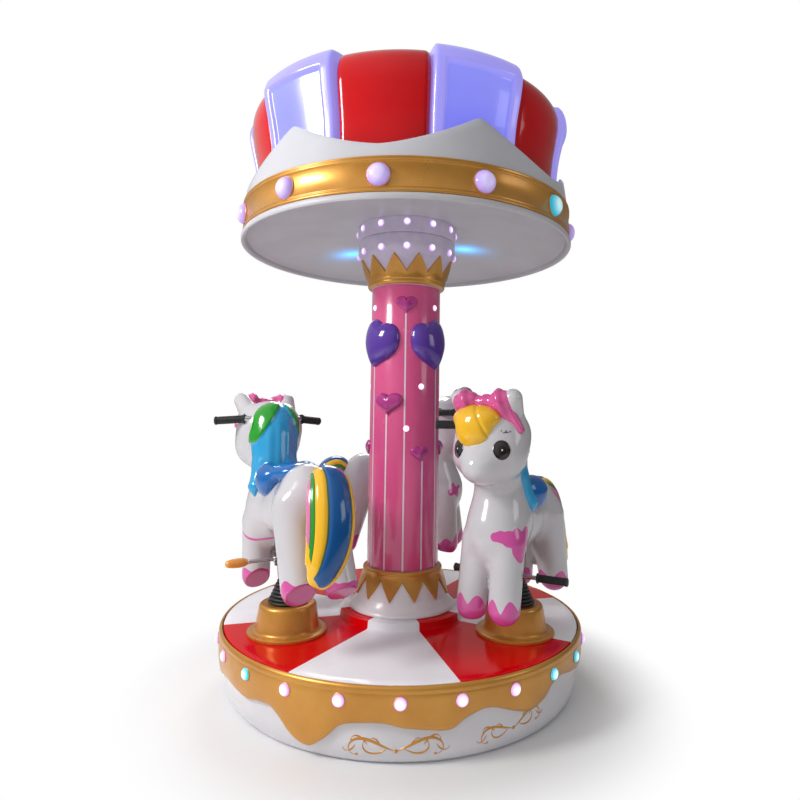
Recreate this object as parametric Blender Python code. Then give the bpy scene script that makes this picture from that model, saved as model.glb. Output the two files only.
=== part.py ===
"""A children's ride: a small pony carousel with a crown canopy. Metres, +Z up.

The origin is on the floor under the middle of the base. Azimuths are measured from -Y, the
side that faces the viewer, towards +X. A pony's own frame stands on the deck under its middle:
x runs forward, y to its left (away from the column), z up from the deck.
"""

import math

import bmesh
import bpy
import numpy as np
from mathutils import Matrix, Vector

GAP = 0.0003  # what pieces that rest on each other keep between them
RUN = 0.0005  # round a pin or a rod that moves

# Base
TUB_R = 0.711
TUB_TOP = 0.205
DECK_R = 0.718
DECK_BOTTOM = 0.215
DECK = 0.247
RIM_IN = 0.723
RIM_OUT = 0.735
RIM_TOP = 0.250
BEARING_R = 0.200
RIM_BULBS = 24
RIM_BULB_Z = 0.199
RIM_BULB_R = 0.015

# Column
HUB_R = 0.262
HUB_TOP = 0.277
FOOT_TOP = 0.4417
SHAFT_R = 0.150
SHAFT_TOP = 1.616
BOWL_CONE_TOP = 1.745
BOWL_R = 0.215
BOWL_TOP = 1.8215
COLLAR_R = 0.217
COLLAR_TOP = 1.8897

# Canopy
CANOPY_R = 0.712
CANOPY_BOTTOM = 1.780
BAND_R = 0.704
BAND_BOTTOM = 1.808
BAND_TOP = 1.932
DOMES = 12
DOME_Z = 1.866
DOME_R = 0.037
CROWN_PHASE = -8.0  # azimuth of the middle of one red segment
CREST_LOW = 1.972
CREST_HIGH = 2.098
CROWN_TOP = 2.400
PANELS = 6
CORE_R = 0.560

# Ponies
RIDE_R = 0.502
PEDESTAL_TOP = 0.110
POST_R = 0.0185
BELLOWS_TOP = 0.196
PIVOT_Z = 0.235
PIN_R = 0.007
BRACKET_TOP = 0.330
BAR_X = 0.150
BAR_Z = 0.788
BAR_BEND = 0.085  # where the handlebar turns forward, to either side of the middle
BAR_R = 0.012
GRIP_END = Vector((0.236, 0.230, 0.788))
GRIP_R = 0.017
FLANGE_AT = 0.043  # from the bend
PEG_X = 0.064
PEG_Z = 0.227
PEG_R = 0.008
# name: azimuth, lift and degrees nose down in the rest pose, whether the outer foot peg is a grip
PONIES = {"1": (60.0, 0.000, 0.0, True), "2": (-60.0, 0.040, 8.0, False), "3": (180.0, 0.050, 0.0, False)}
# The sides that have a handlebar grip: the photographed pony 1 has none on its outer side
BAR_SIDES = {"1": (-1,), "2": (-1, 1), "3": (-1, 1)}

HERE = bpy.context.scene.collection


def material(name, colour, roughness, metallic=0.0):
    made = bpy.data.materials.new(name)
    made.use_nodes = True
    shader = made.node_tree.nodes["Principled BSDF"]
    shader.inputs["Base Color"].default_value = (*colour, 1.0)
    shader.inputs["Roughness"].default_value = roughness
    shader.inputs["Metallic"].default_value = metallic
    made.diffuse_color = (*colour, 1.0)
    return made


def placed(name, mesh, paint, matrix=None):
    """An object of its own with this mesh, smooth where it is round."""
    mesh.materials.clear()
    mesh.materials.append(paint)
    mesh.shade_smooth()
    mesh.set_sharp_from_angle(angle=math.radians(35))
    made = bpy.data.objects.new(name, mesh)
    HERE.objects.link(made)
    if matrix is not None:
        made.matrix_world = matrix
    return made


def mesh_of(bm, name):
    bmesh.ops.remove_doubles(bm, verts=bm.verts, dist=1e-6)
    bmesh.ops.recalc_face_normals(bm, faces=bm.faces)
    if bm.calc_volume(signed=True) < 0:
        bmesh.ops.reverse_faces(bm, faces=bm.faces)
    mesh = bpy.data.meshes.new(name)
    bm.to_mesh(mesh)
    bm.free()
    return mesh


def round_the_axis(azimuth, radius, z=0.0):
    turn = math.radians(azimuth)
    return Vector((radius * math.sin(turn), -radius * math.cos(turn), z))


def turned(name, profile, steps, hollow=False):
    """The profile's (radius, z) points spun about Z. A hollow one closes on itself as a ring."""
    bm = bmesh.new()
    points = [bm.verts.new(round_the_axis(0.0, r, z)) for r, z in profile]
    pairs = list(zip(points, points[1:]))
    if hollow:
        pairs.append((points[-1], points[0]))
    edges = [bm.edges.new(pair) for pair in pairs]
    bmesh.ops.spin(
        bm,
        geom=points + edges,
        cent=(0, 0, 0),
        axis=(0, 0, 1),
        angle=math.radians(360),
        steps=steps,
        use_merge=True,
    )
    return mesh_of(bm, name)


def wavy_ring(name, steps, start, rows):
    """A ring whose cross-section, from rows(azimuth) as (radius, z) points, changes on the way round."""
    return ring_of(name, [(start + 360.0 * k / steps, rows(start + 360.0 * k / steps)) for k in range(steps)])


def ring_of(name, sections, whole=True):
    """A ring, or a closed stretch of one, through (azimuth, section) pairs in order round the axis."""
    bm = bmesh.new()
    loops = []
    for azimuth, section in sections:
        loops.append([bm.verts.new(round_the_axis(azimuth, r, z)) for r, z in section])
    nexts = loops[1:] + loops[:1] if whole else loops[1:]
    for here, there in zip(loops, nexts):
        for i in range(len(here)):
            j = (i + 1) % len(here)
            bm.faces.new((here[i], there[i], there[j], here[j]))
    if not whole:
        bm.faces.new(loops[0][::-1])
        bm.faces.new(loops[-1])
    return mesh_of(bm, name)


def saw(azimuth, first, pitch):
    """0 at first and at every pitch from it, rising evenly to 1 half way between."""
    return 1.0 - abs(1.0 - ((azimuth - first) % pitch) / (pitch / 2))


def ball(centre, radii, pitch=0.0, rings=10, sides=16):
    bm = bmesh.new()
    bmesh.ops.create_uvsphere(bm, u_segments=sides, v_segments=rings, radius=1.0)
    turn = Matrix.Rotation(math.radians(pitch), 4, "Y")
    bm.transform(Matrix.Translation(centre) @ turn @ Matrix.Diagonal((*radii, 1.0)))
    return mesh_of(bm, "ball")


def limb(start, end, start_r, end_r, squash=1.0, sides=16):
    """A tapered round bar between two points, flattened across y by squash."""
    start, end = Vector(start), Vector(end)
    along = end - start
    bm = bmesh.new()
    bmesh.ops.create_cone(
        bm, cap_ends=True, segments=sides, radius1=start_r, radius2=end_r, depth=along.length
    )
    aim = along.to_track_quat("Z", "Y").to_matrix().to_4x4()
    bm.transform(Matrix.Translation((start + end) / 2) @ aim)
    if squash != 1.0:
        middle = (start.y + end.y) / 2
        bm.transform(
            Matrix.Translation((0, middle, 0))
            @ Matrix.Diagonal((1, squash, 1, 1))
            @ Matrix.Translation((0, -middle, 0))
        )
    return mesh_of(bm, "limb")


def block(low, high):
    bm = bmesh.new()
    bmesh.ops.create_cube(bm, size=1.0)
    size = [b - a for a, b in zip(low, high)]
    middle = [(a + b) / 2 for a, b in zip(low, high)]
    bm.transform(Matrix.Translation(middle) @ Matrix.Diagonal((*size, 1.0)))
    return mesh_of(bm, "block")


def rod_across(x, z, radius, half, sides=24):
    """A round bar along y."""
    return limb((x, -half, z), (x, half, z), radius, radius, sides=sides)


def helper(mesh):
    made = bpy.data.objects.new("cutter", mesh)
    HERE.objects.link(made)
    made.hide_render = True
    made.display_type = "WIRE"
    return made


def finished(working):
    """The mesh that the object's modifiers give, and the object itself removed."""
    bpy.context.view_layer.update()
    graph = bpy.context.evaluated_depsgraph_get()
    mesh = bpy.data.meshes.new_from_object(working.evaluated_get(graph), depsgraph=graph)
    bpy.data.objects.remove(working)
    bpy.context.view_layer.update()
    return mesh


def joined(meshes):
    bm = bmesh.new()
    for mesh in meshes:
        bm.from_mesh(mesh)
    made = bpy.data.meshes.new("joined")
    bm.to_mesh(made)
    bm.free()
    return made


def boolean(mesh, others, operation):
    """The mesh with each of the others joined to it or cut out of it, one after the other."""
    working = helper(mesh)
    used = []
    for other in others:
        tool = helper(other)
        used.append(tool)
        step = working.modifiers.new("step", "BOOLEAN")
        step.operation = operation
        step.solver = "EXACT"
        step.object = tool
    bpy.context.view_layer.update()
    made = finished(working)
    for tool in used:
        bpy.data.objects.remove(tool)
    return made


def union(mesh, others):
    return boolean(mesh, others, "UNION")


def cut(mesh, others):
    return largest(boolean(mesh, others, "DIFFERENCE"))


def largest(mesh):
    """Only the biggest of the mesh's separate bodies."""
    bm = bmesh.new()
    bm.from_mesh(mesh)
    left = set(bm.verts)
    groups = []
    while left:
        seed = left.pop()
        group, edge = {seed}, [seed]
        while edge:
            vertex = edge.pop()
            for link in vertex.link_edges:
                other = link.other_vert(vertex)
                if other not in group:
                    group.add(other)
                    edge.append(other)
        left -= group
        groups.append(group)
    groups.sort(key=len)
    for group in groups[:-1]:
        bmesh.ops.delete(bm, geom=list(group), context="VERTS")
    bmesh.ops.dissolve_degenerate(bm, dist=1e-5, edges=bm.edges)
    made = bpy.data.meshes.new("largest")
    bm.to_mesh(made)
    bm.free()
    return made


def grown(mesh, by):
    """The same skin moved outwards a little, for cutting what lies on it."""
    working = helper(mesh)
    push = working.modifiers.new("push", "DISPLACE")
    push.strength = by
    push.mid_level = 0.0
    bpy.context.view_layer.update()
    return finished(working)


# Base


def rim_rows(azimuth):
    """The gold band's section: a flange on the tub, a lip round the deck, and a dripping skirt."""
    low = 0.112 + 0.022 * math.cos(math.radians(azimuth * 9)) + 0.016 * math.sin(math.radians(azimuth * 5))
    skirt = TUB_R + GAP
    return (
        (RIM_IN, RIM_TOP),
        (RIM_OUT, RIM_TOP),
        (RIM_OUT, 0.170),
        (RIM_OUT - 0.006, low),
        (skirt, low),
        (skirt, TUB_TOP + GAP),
        (0.690, TUB_TOP + GAP),
        (0.690, DECK_BOTTOM - 0.006),
        (RIM_IN, DECK_BOTTOM - 0.006),
    )


def make_base(white, gold, steel):
    tub = ((0, 0), (0.682, 0), (0.700, 0.030), (TUB_R, 0.070), (TUB_R, TUB_TOP), (0, TUB_TOP))
    placed("base_tub", turned("base_tub", tub, 48), white)
    bulbs = [
        ball(round_the_axis(360 * k / RIM_BULBS, RIM_OUT, RIM_BULB_Z), (RIM_BULB_R,) * 3, rings=4, sides=5)
        for k in range(RIM_BULBS)
    ]
    rim = wavy_ring("base_rim", 48, 0.0, rim_rows)
    placed("base_rim", union(rim, [joined(bulbs)]), gold)
    bearing = (
        (BEARING_R, DECK_BOTTOM - GAP),
        (BEARING_R, TUB_TOP + GAP),
        (0.150, TUB_TOP + GAP),
        (0.150, DECK_BOTTOM - GAP),
    )
    placed("slew_bearing", turned("slew_bearing", bearing, 24, hollow=True), steel)


def make_deck(red):
    deck = (
        (0, DECK_BOTTOM),
        (DECK_R - 0.003, DECK_BOTTOM),
        (DECK_R, DECK_BOTTOM + 0.003),
        (DECK_R, DECK - 0.003),
        (DECK_R - 0.003, DECK),
        (HUB_R + 0.004, DECK),
        (HUB_R, DECK + 0.004),
        (HUB_R - 0.004, HUB_TOP),
        (0, HUB_TOP),
    )
    placed("turntable_deck", turned("turntable_deck", deck, 48), red)


def make_pedestals(gold):
    bore = POST_R + 0.001
    section = (
        (bore, PEDESTAL_TOP),
        (0.096, PEDESTAL_TOP),
        (0.102, PEDESTAL_TOP - 0.006),
        (0.112, 0.046),
        (0.125, 0.036),
        (0.136, 0.018),
        (0.150, 0.012),
        (0.150, GAP),
        (bore, GAP),
    )
    mesh = turned("pedestal", section, 24, hollow=True)
    for name, (azimuth, _, _, _) in PONIES.items():
        spot = Matrix.Translation(round_the_axis(azimuth, RIDE_R, DECK))
        placed("pedestal_" + name, mesh.copy(), gold, spot)


def make_bellows(rubber):
    low, high = PEDESTAL_TOP + GAP, BELLOWS_TOP
    bore = POST_R + 0.006
    folds = 3
    section = [(bore, low), (0.080, low)]
    for fold in range(folds):
        share = (fold + 0.5) / folds
        crest = 0.080 + (0.044 - 0.080) * share
        z = low + (high - low) * share
        half = (high - low) / folds / 2
        section.append((crest, z - half * 0.3))
        section.append((crest, z + half * 0.3))
        if fold < folds - 1:
            section.append((crest - 0.013, z + half))
    section += [(0.042, high), (bore, high)]
    mesh = turned("bellows", section[::-1], 12, hollow=True)
    for name, (azimuth, _, _, _) in PONIES.items():
        spot = Matrix.Translation(round_the_axis(azimuth, RIDE_R, DECK))
        placed("bellows_" + name, mesh.copy(), rubber, spot)


# Column


def foot_skin(z):
    """Radius of the foot's upper cone at height z."""
    share = (z - 0.330) / (FOOT_TOP - 0.330)
    return 0.190 + (0.152 - 0.190) * share


def bowl_skin(z):
    """Radius of the bowl's cone at height z."""
    share = (z - SHAFT_TOP) / (BOWL_CONE_TOP - SHAFT_TOP)
    return 0.153 + (0.198 - 0.153) * share


def make_column(white, gold, pink):
    foot = (
        (0, HUB_TOP + GAP),
        (0.222, HUB_TOP + GAP),
        (0.222, 0.286),
        (0.204, 0.300),
        (0.190, 0.330),
        (foot_skin(FOOT_TOP), FOOT_TOP),
        (0, FOOT_TOP),
    )
    placed("column_foot", turned("column_foot", foot, 24), white)

    def foot_crown_rows(azimuth):
        low = 0.404 - 0.070 * saw(azimuth, 0.0, 30.0)
        top = FOOT_TOP
        return (
            (foot_skin(top) + 0.008, top),
            (foot_skin(low) + 0.007, low),
            (foot_skin(low) + 0.0006, low),
            (foot_skin(top) + 0.0006, top),
        )

    placed("column_foot_crown", wavy_ring("column_foot_crown", 24, 0.0, foot_crown_rows), gold)

    shaft = ((0, FOOT_TOP + GAP), (SHAFT_R, FOOT_TOP + GAP), (SHAFT_R, SHAFT_TOP - GAP), (0, SHAFT_TOP - GAP))
    placed("column_shaft", turned("column_shaft", shaft, 24), pink)

    bowl = (
        (0, SHAFT_TOP),
        (bowl_skin(SHAFT_TOP), SHAFT_TOP),
        (bowl_skin(BOWL_CONE_TOP), BOWL_CONE_TOP),
        (BOWL_R, 1.775),
        (BOWL_R, BOWL_TOP),
        (0, BOWL_TOP),
    )
    placed("column_bowl", turned("column_bowl", bowl, 24), white)

    def capital_rows(azimuth):
        high = 1.671 + 0.071 * saw(azimuth, 0.0, 30.0)
        low = SHAFT_TOP + 0.002
        return (
            (bowl_skin(low) + 0.0006, low),
            (bowl_skin(low) + 0.009, low),
            (bowl_skin(high) + 0.007, high),
            (bowl_skin(high) + 0.0006, high),
        )

    placed("column_capital_crown", wavy_ring("column_capital_crown", 24, 0.0, capital_rows), gold)

    collar = (
        (0, BOWL_TOP + GAP),
        (0.208, BOWL_TOP + GAP),
        (COLLAR_R, BOWL_TOP + 0.008),
        (COLLAR_R, COLLAR_TOP),
        (0, COLLAR_TOP),
    )
    placed("column_collar", turned("column_collar", collar, 24), white)


# Canopy


def make_canopy(white, gold, red, glow):
    ceiling = COLLAR_TOP + GAP
    soffit = (
        (0, ceiling),
        (0.300, ceiling),
        (0.480, 1.872),
        (0.620, 1.834),
        (0.684, 1.800),
        (0.697, CANOPY_BOTTOM + 0.002),
        (0.705, CANOPY_BOTTOM),
        (CANOPY_R, CANOPY_BOTTOM + 0.008),
        (CANOPY_R, BAND_BOTTOM - 0.006),
        (0.706, BAND_BOTTOM - GAP),
        (BAND_R - 0.006 - GAP, BAND_BOTTOM - GAP),
        (BAND_R - 0.006 - GAP, BAND_TOP),
        (0, BAND_TOP),
    )
    placed("canopy_soffit", turned("canopy_soffit", soffit, 48), white)

    band = (
        (BAND_R - 0.006, BAND_TOP),
        (BAND_R + 0.003, BAND_TOP),
        (BAND_R + 0.003, BAND_TOP - 0.010),
        (BAND_R, BAND_TOP - 0.016),
        (BAND_R, BAND_BOTTOM + 0.010),
        (BAND_R + 0.003, BAND_BOTTOM),
        (BAND_R - 0.006, BAND_BOTTOM),
    )
    domes = [
        ball(round_the_axis(CROWN_PHASE + 360 * k / DOMES, BAND_R - 0.004, DOME_Z), (DOME_R,) * 3, rings=4, sides=8)
        for k in range(DOMES)
    ]
    band_mesh = turned("canopy_band", band, 48, hollow=True)
    inside = turned("inside", ((0, 1.7), (BAND_R - 0.006, 1.7), (BAND_R - 0.006, 2.0), (0, 2.0)), 48)
    shells = boolean(joined(domes), [inside], "DIFFERENCE")
    placed("canopy_band", union(band_mesh, [shells]), gold)

    def crest_rows(azimuth):
        away = 1.0 - saw(azimuth, CROWN_PHASE, 60.0)
        high = CREST_LOW + (CREST_HIGH - CREST_LOW) * (1.0 - away) ** 1.8
        lean = (high - BAND_TOP) * 0.13
        return (
            (0.690, BAND_TOP + GAP),
            (0.700, BAND_TOP + GAP),
            (0.699 - lean, high),
            (0.692 - lean, high),
        )

    placed("canopy_crest", wavy_ring("canopy_crest", 48, CROWN_PHASE, crest_rows), white)

    foot = BAND_TOP + GAP
    bulge = (
        (0.640, foot),
        (0.640, 2.000),
        (0.652, 2.120),
        (0.674, 2.240),
        (0.672, 2.300),
        (0.640, 2.352),
        (CORE_R, 2.378),
    )
    inner = [(0.300, 2.378), (0.300, foot)]
    proud = list(bulge) + inner
    back = [(CORE_R, z) for _, z in bulge] + inner
    sections = []
    for k in range(PANELS):
        middle = CROWN_PHASE + 60.0 * k
        sections += [(middle + step * 7.5, proud) for step in (-2, -1, 0, 1, 2)]
        sections += [(middle + 15.0 + step * 7.5, back) for step in (0, 1, 2, 3, 4)]
    placed("crown_dome", ring_of("crown_dome", sections), red)

    panel = (
        (CORE_R + 0.002, foot),
        (0.648, foot),
        (0.650, 2.000),
        (0.664, 2.120),
        (0.692, 2.260),
        (0.700, 2.330),
        (0.680, 2.372),
        (0.610, CROWN_TOP),
        (CORE_R + 0.002, CROWN_TOP),
    )
    for k in range(PANELS):
        middle = CROWN_PHASE + 30.0 + 60.0 * k
        name = "light_panel_%d" % (k + 1)
        sections = [(middle + step * 14.85 / 2, panel) for step in (-2, -1, 0, 1, 2)]
        placed(name, ring_of(name, sections, whole=False), glow)

    cap = ((0, 2.378 + GAP), (CORE_R - 0.006, 2.378 + GAP), (CORE_R - 0.006, 2.392), (0.50, CROWN_TOP), (0, CROWN_TOP))
    placed("crown_cap", turned("crown_cap", cap, 48), white)


# Ponies


# Smooth bodies made of melted forms. Each form gives its distance from an (N, 3) array of points.


def egg(centre, radii, pitch=0.0, yaw=0.0):
    """An ellipsoid, turned nose down by pitch and to the left by yaw, in degrees."""
    turn = np.array(Matrix.Rotation(math.radians(yaw), 3, "Z") @ Matrix.Rotation(math.radians(pitch), 3, "Y"))
    centre, radii = np.array(centre, float), np.array(radii, float)

    def distance(points):
        local = (points - centre) @ turn
        near = np.linalg.norm(local / radii, axis=1)
        slope = np.linalg.norm(local / radii**2, axis=1) + 1e-9
        return near * (near - 1.0) / slope

    distance.hull = (centre, radii, turn)
    return distance


def bar(start, end, start_r, end_r):
    """A round-ended tapered limb."""
    base, tip = np.array(start, float), np.array(end, float)
    along = tip - base

    def distance(points):
        local = points - base
        t = np.clip(local @ along / (along @ along), 0.0, 1.0)
        return np.linalg.norm(local - t[:, None] * along, axis=1) - (start_r + (end_r - start_r) * t)

    distance.limb = (base, tip, start_r, end_r)
    return distance


def both_sides(make, *places, yaw=0.0):
    """The form and its mirror image across y = 0."""
    if make is egg:
        centre, radii = places
        return [egg(centre, radii, yaw=yaw), egg((centre[0], -centre[1], centre[2]), radii, yaw=-yaw)]
    start, end, start_r, end_r = places
    flipped = [(x, -y, z) for x, y, z in (start, end)]
    return [bar(start, end, start_r, end_r), bar(*flipped, start_r, end_r)]


def melt(near, other, blend):
    share = np.clip(0.5 + 0.5 * (near - other) / blend, 0.0, 1.0)
    return near + (other - near) * share - blend * share * (1.0 - share)


def melted(groups):
    """The distance from all groups of (forms, blend) melted together."""

    def distance(points):
        total = None
        for forms, blend in groups:
            for form in forms:
                one = form(points)
                total = one if total is None else melt(total, one, blend)
        return total

    return distance


def rough_shell(groups):
    """Plain overlapping balls a little larger than the forms, for the first skin."""
    bm = bmesh.new()
    for forms, blend in groups:
        grow = 0.002 + 0.22 * blend
        for form in forms:
            if hasattr(form, "hull"):
                centre, radii, turn = form.hull
                balls = [Matrix.Translation(centre) @ Matrix(turn).to_4x4() @ Matrix.Diagonal((*(radii + grow), 1.0))]
            else:
                first, last, first_r, last_r = form.limb
                balls = []
                for t in np.linspace(0.0, 1.0, 9):
                    r = first_r + (last_r - first_r) * t + grow
                    balls.append(Matrix.Translation(first + (last - first) * t) @ Matrix.Diagonal((r, r, r, 1.0)))
            for place in balls:
                bmesh.ops.create_uvsphere(bm, u_segments=16, v_segments=10, radius=1.0, matrix=place)
    mesh = bpy.data.meshes.new("shell")
    bm.to_mesh(mesh)
    bm.free()
    return mesh


def settle(mesh, distance, times):
    """Moves the mesh's points onto the surface where the distance is zero."""
    co = np.empty(len(mesh.vertices) * 3, np.float32)
    mesh.vertices.foreach_get("co", co)
    points = co.reshape(-1, 3).astype(float)
    for _ in range(times):
        here = distance(points)
        slope = np.empty_like(points)
        for axis in range(3):
            ahead = points.copy()
            ahead[:, axis] += 0.0008
            slope[:, axis] = (distance(ahead) - here) / 0.0008
        size = np.maximum((slope**2).sum(axis=1), 0.05)
        points += np.clip(-here[:, None] * slope / size[:, None], -0.01, 0.01)
    mesh.vertices.foreach_set("co", points.astype(np.float32).ravel())
    mesh.update()


def skin(distance, groups, voxel, triangles):
    """A mesh of about this many triangles on the surface where the distance is zero."""
    working = helper(rough_shell(groups))
    first = working.modifiers.new("first", "REMESH")
    first.mode = "VOXEL"
    first.voxel_size = voxel
    mesh = finished(working)
    for _ in range(3):
        working = helper(mesh)
        soften = working.modifiers.new("soften", "SMOOTH")
        soften.factor = 0.5
        soften.iterations = 3
        mesh = finished(working)
        settle(mesh, distance, 1)
    mesh.calc_loop_triangles()
    working = helper(mesh)
    soften = working.modifiers.new("soften", "SMOOTH")
    soften.factor = 0.5
    soften.iterations = 2
    thin = working.modifiers.new("thin", "DECIMATE")
    thin.ratio = min(1.0, triangles / len(mesh.loop_triangles))
    working.modifiers.new("triangles", "TRIANGULATE")
    return largest(finished(working))


BODY_FORMS = [
    ([egg((0.00, 0, 0.430), (0.25, 0.100, 0.118))], 0.03),
    ([egg((0.190, 0, 0.400), (0.112, 0.112, 0.135))], 0.05),
    ([egg((-0.200, 0, 0.450), (0.116, 0.104, 0.126))], 0.05),
    ([bar((0.140, 0, 0.470), (0.190, 0, 0.660), 0.098, 0.084)], 0.06),
    ([bar((0.224, 0.056, 0.370), (0.256, 0.054, 0.158), 0.060, 0.056)], 0.026),
    ([bar((0.204, -0.064, 0.370), (0.216, -0.084, 0.146), 0.060, 0.057)], 0.026),
    ([bar((-0.215, 0.060, 0.420), (-0.285, 0.070, 0.156), 0.074, 0.060)], 0.035),
    ([bar((-0.215, -0.060, 0.420), (-0.285, -0.084, 0.150), 0.074, 0.060)], 0.035),
    ([egg((0.225, 0, 0.755), (0.128, 0.138, 0.118))], 0.035),
    ([egg((0.262, 0, 0.680), (0.106, 0.132, 0.098))], 0.05),
    ([egg((0.345, 0, 0.645), (0.064, 0.060, 0.054))], 0.05),
    (both_sides(bar, (0.240, 0.078, 0.815), (0.292, 0.100, 0.884), 0.044, 0.034), 0.018),
]
MANE_FORMS = [
    ([egg((0.155, 0.000, 0.762), (0.084, 0.098, 0.092))], 0.02),
    ([egg((0.118, 0.010, 0.680), (0.070, 0.102, 0.100))], 0.04),
    ([egg((0.105, 0.010, 0.590), (0.062, 0.090, 0.078))], 0.04),
    ([bar((0.100, 0.044, 0.570), (0.118, 0.078, 0.478), 0.046, 0.018)], 0.03),
    ([bar((0.090, -0.030, 0.570), (0.110, -0.076, 0.510), 0.046, 0.018)], 0.03),
]
SADDLE_FORMS = [
    ([egg((-0.060, 0, 0.548), (0.115, 0.094, 0.044))], 0.02),
    (both_sides(egg, (0.026, 0.074, 0.532), (0.092, 0.050, 0.064), yaw=-18.0), 0.025),
]
FORELOCK_FORMS = [
    ([egg((0.312, -0.028, 0.822), (0.064, 0.092, 0.054), yaw=-8.0)], 0.02),
    ([egg((0.340, -0.034, 0.778), (0.046, 0.072, 0.058))], 0.03),
]
BOW_FORMS = [
    ([egg((0.292, 0.000, 0.888), (0.034, 0.044, 0.026))], 0.006),
    ([egg((0.300, -0.066, 0.884), (0.042, 0.036, 0.040), yaw=-15.0)], 0.008),
    ([egg((0.292, 0.060, 0.884), (0.044, 0.044, 0.046), yaw=15.0)], 0.008),
    ([bar((0.296, 0.082, 0.868), (0.268, 0.136, 0.790), 0.026, 0.014)], 0.012),
]
# x, y, z and radius along the middle of the tail
TAIL_LINE = [
    (-0.280, -0.010, 0.505, 0.020),
    (-0.325, -0.020, 0.545, 0.042),
    (-0.372, -0.022, 0.525, 0.055),
    (-0.398, -0.016, 0.450, 0.058),
    (-0.412, -0.008, 0.370, 0.060),
    (-0.420, 0.006, 0.285, 0.056),
    (-0.428, 0.032, 0.212, 0.043),
    (-0.432, 0.066, 0.176, 0.022),
]
TAIL_FLAT = 1.25


def facing(place, normal):
    """How far a point is on the far side of the plane through place that faces along normal."""
    normal = np.array(normal, float) / np.linalg.norm(normal)

    def distance(points):
        return (points - np.array(place)) @ normal

    return distance


SOLES = (
    facing((0.236, 0.054, 0.138), (-0.71, 0, -0.71)),
    facing((0.210, -0.084, 0.106), (-0.16, 0, -0.99)),
    facing((-0.308, 0.070, 0.134), (-0.72, 0, -0.69)),
    facing((-0.302, -0.084, 0.120), (-0.50, 0, -0.87)),
)


def pony_distance(points):
    total = melted(BODY_FORMS)(points)
    leg = np.where(points[:, 0] > 0, 0, 2) + np.where(points[:, 1] > 0, 0, 1)
    cut_off = -melt(-total, -np.choose(leg, [one(points) for one in SOLES]), 0.004)
    return np.where(points[:, 2] < 0.27, cut_off, total)


def along_line(line, count):
    """count + 1 places on the smooth curve through the line's rows."""
    rows = np.array(line, float)
    padded = np.vstack([2 * rows[0] - rows[1], rows, 2 * rows[-1] - rows[-2]])
    out = []
    for k in range(count + 1):
        at = k / count * (len(rows) - 1)
        i = min(int(at), len(rows) - 2)
        t = at - i
        a, b, c, d = padded[i : i + 4]
        out.append(0.5 * (2 * b + (c - a) * t + (2 * a - 5 * b + 4 * c - d) * t**2 + (3 * b - a - 3 * c + d) * t**3))
    return np.array(out)


def tail_mesh(count=16, sides=14):
    """A thick lock round its own curve, closed to a point at both ends."""
    rows = along_line(TAIL_LINE, count)
    spots, radii = rows[:, :3], rows[:, 3]
    ways = np.gradient(spots, axis=0)
    ways /= np.linalg.norm(ways, axis=1)[:, None]
    run = np.concatenate([[0.0], np.cumsum(np.linalg.norm(np.diff(spots, axis=0), axis=1))])
    bm = bmesh.new()
    loops = []
    for k in range(1, count):
        back = np.array([ways[k][2], 0.0, -ways[k][0]])
        back /= np.linalg.norm(back)
        side = np.cross(back, ways[k])
        side *= np.sign(side[1])
        end = min(1.0, min(run[-1] - run[k], run[k]) / 0.030)
        r = radii[k] * math.sqrt(1.0 - (1.0 - end) ** 2)
        turns = [2 * math.pi * j / sides for j in range(sides)]
        ring = [spots[k] + back * (r * math.cos(a)) + side * (r * TAIL_FLAT * math.sin(a)) for a in turns]
        loops.append([bm.verts.new(p) for p in ring])
    for here, there in zip(loops, loops[1:]):
        for j in range(sides):
            bm.faces.new((here[j], here[(j + 1) % sides], there[(j + 1) % sides], there[j]))
    for loop, spot in ((loops[0], spots[0]), (loops[-1], spots[-1])):
        pole = bm.verts.new(spot)
        for j in range(sides):
            bm.faces.new((pole, loop[j], loop[(j + 1) % sides]))
    bmesh.ops.triangulate(bm, faces=bm.faces)
    return mesh_of(bm, "tail")


def handlebar_parts(sides, spare=0.0):
    """The bar through the head, and on each of the sides an arm with its flange and grip, swept forward."""
    bend = Vector((BAR_X, BAR_BEND, BAR_Z))
    half = BAR_BEND + 0.003
    parts = [limb((BAR_X, -half, BAR_Z), (BAR_X, half, BAR_Z), BAR_R + spare, BAR_R + spare, sides=12)]
    for side in sides:
        way = (GRIP_END - bend).normalized()
        places = [bend - way * 0.004, bend + way * 0.120, bend + way * FLANGE_AT, bend + way * (FLANGE_AT + 0.004)]
        places += [bend + way * (FLANGE_AT + 0.003), GRIP_END]
        root, arm_end, near, far, grip, tip = [Vector((p.x, p.y * side, p.z)) for p in places]
        parts.append(limb(root, arm_end, BAR_R + spare - 0.0007, BAR_R + spare - 0.0007, sides=11))
        parts.append(limb(near, far, 0.022 + spare, 0.022 + spare, sides=14))
        parts.append(limb(grip, tip, GRIP_R + spare, GRIP_R + spare, sides=14))
    return parts


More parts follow.
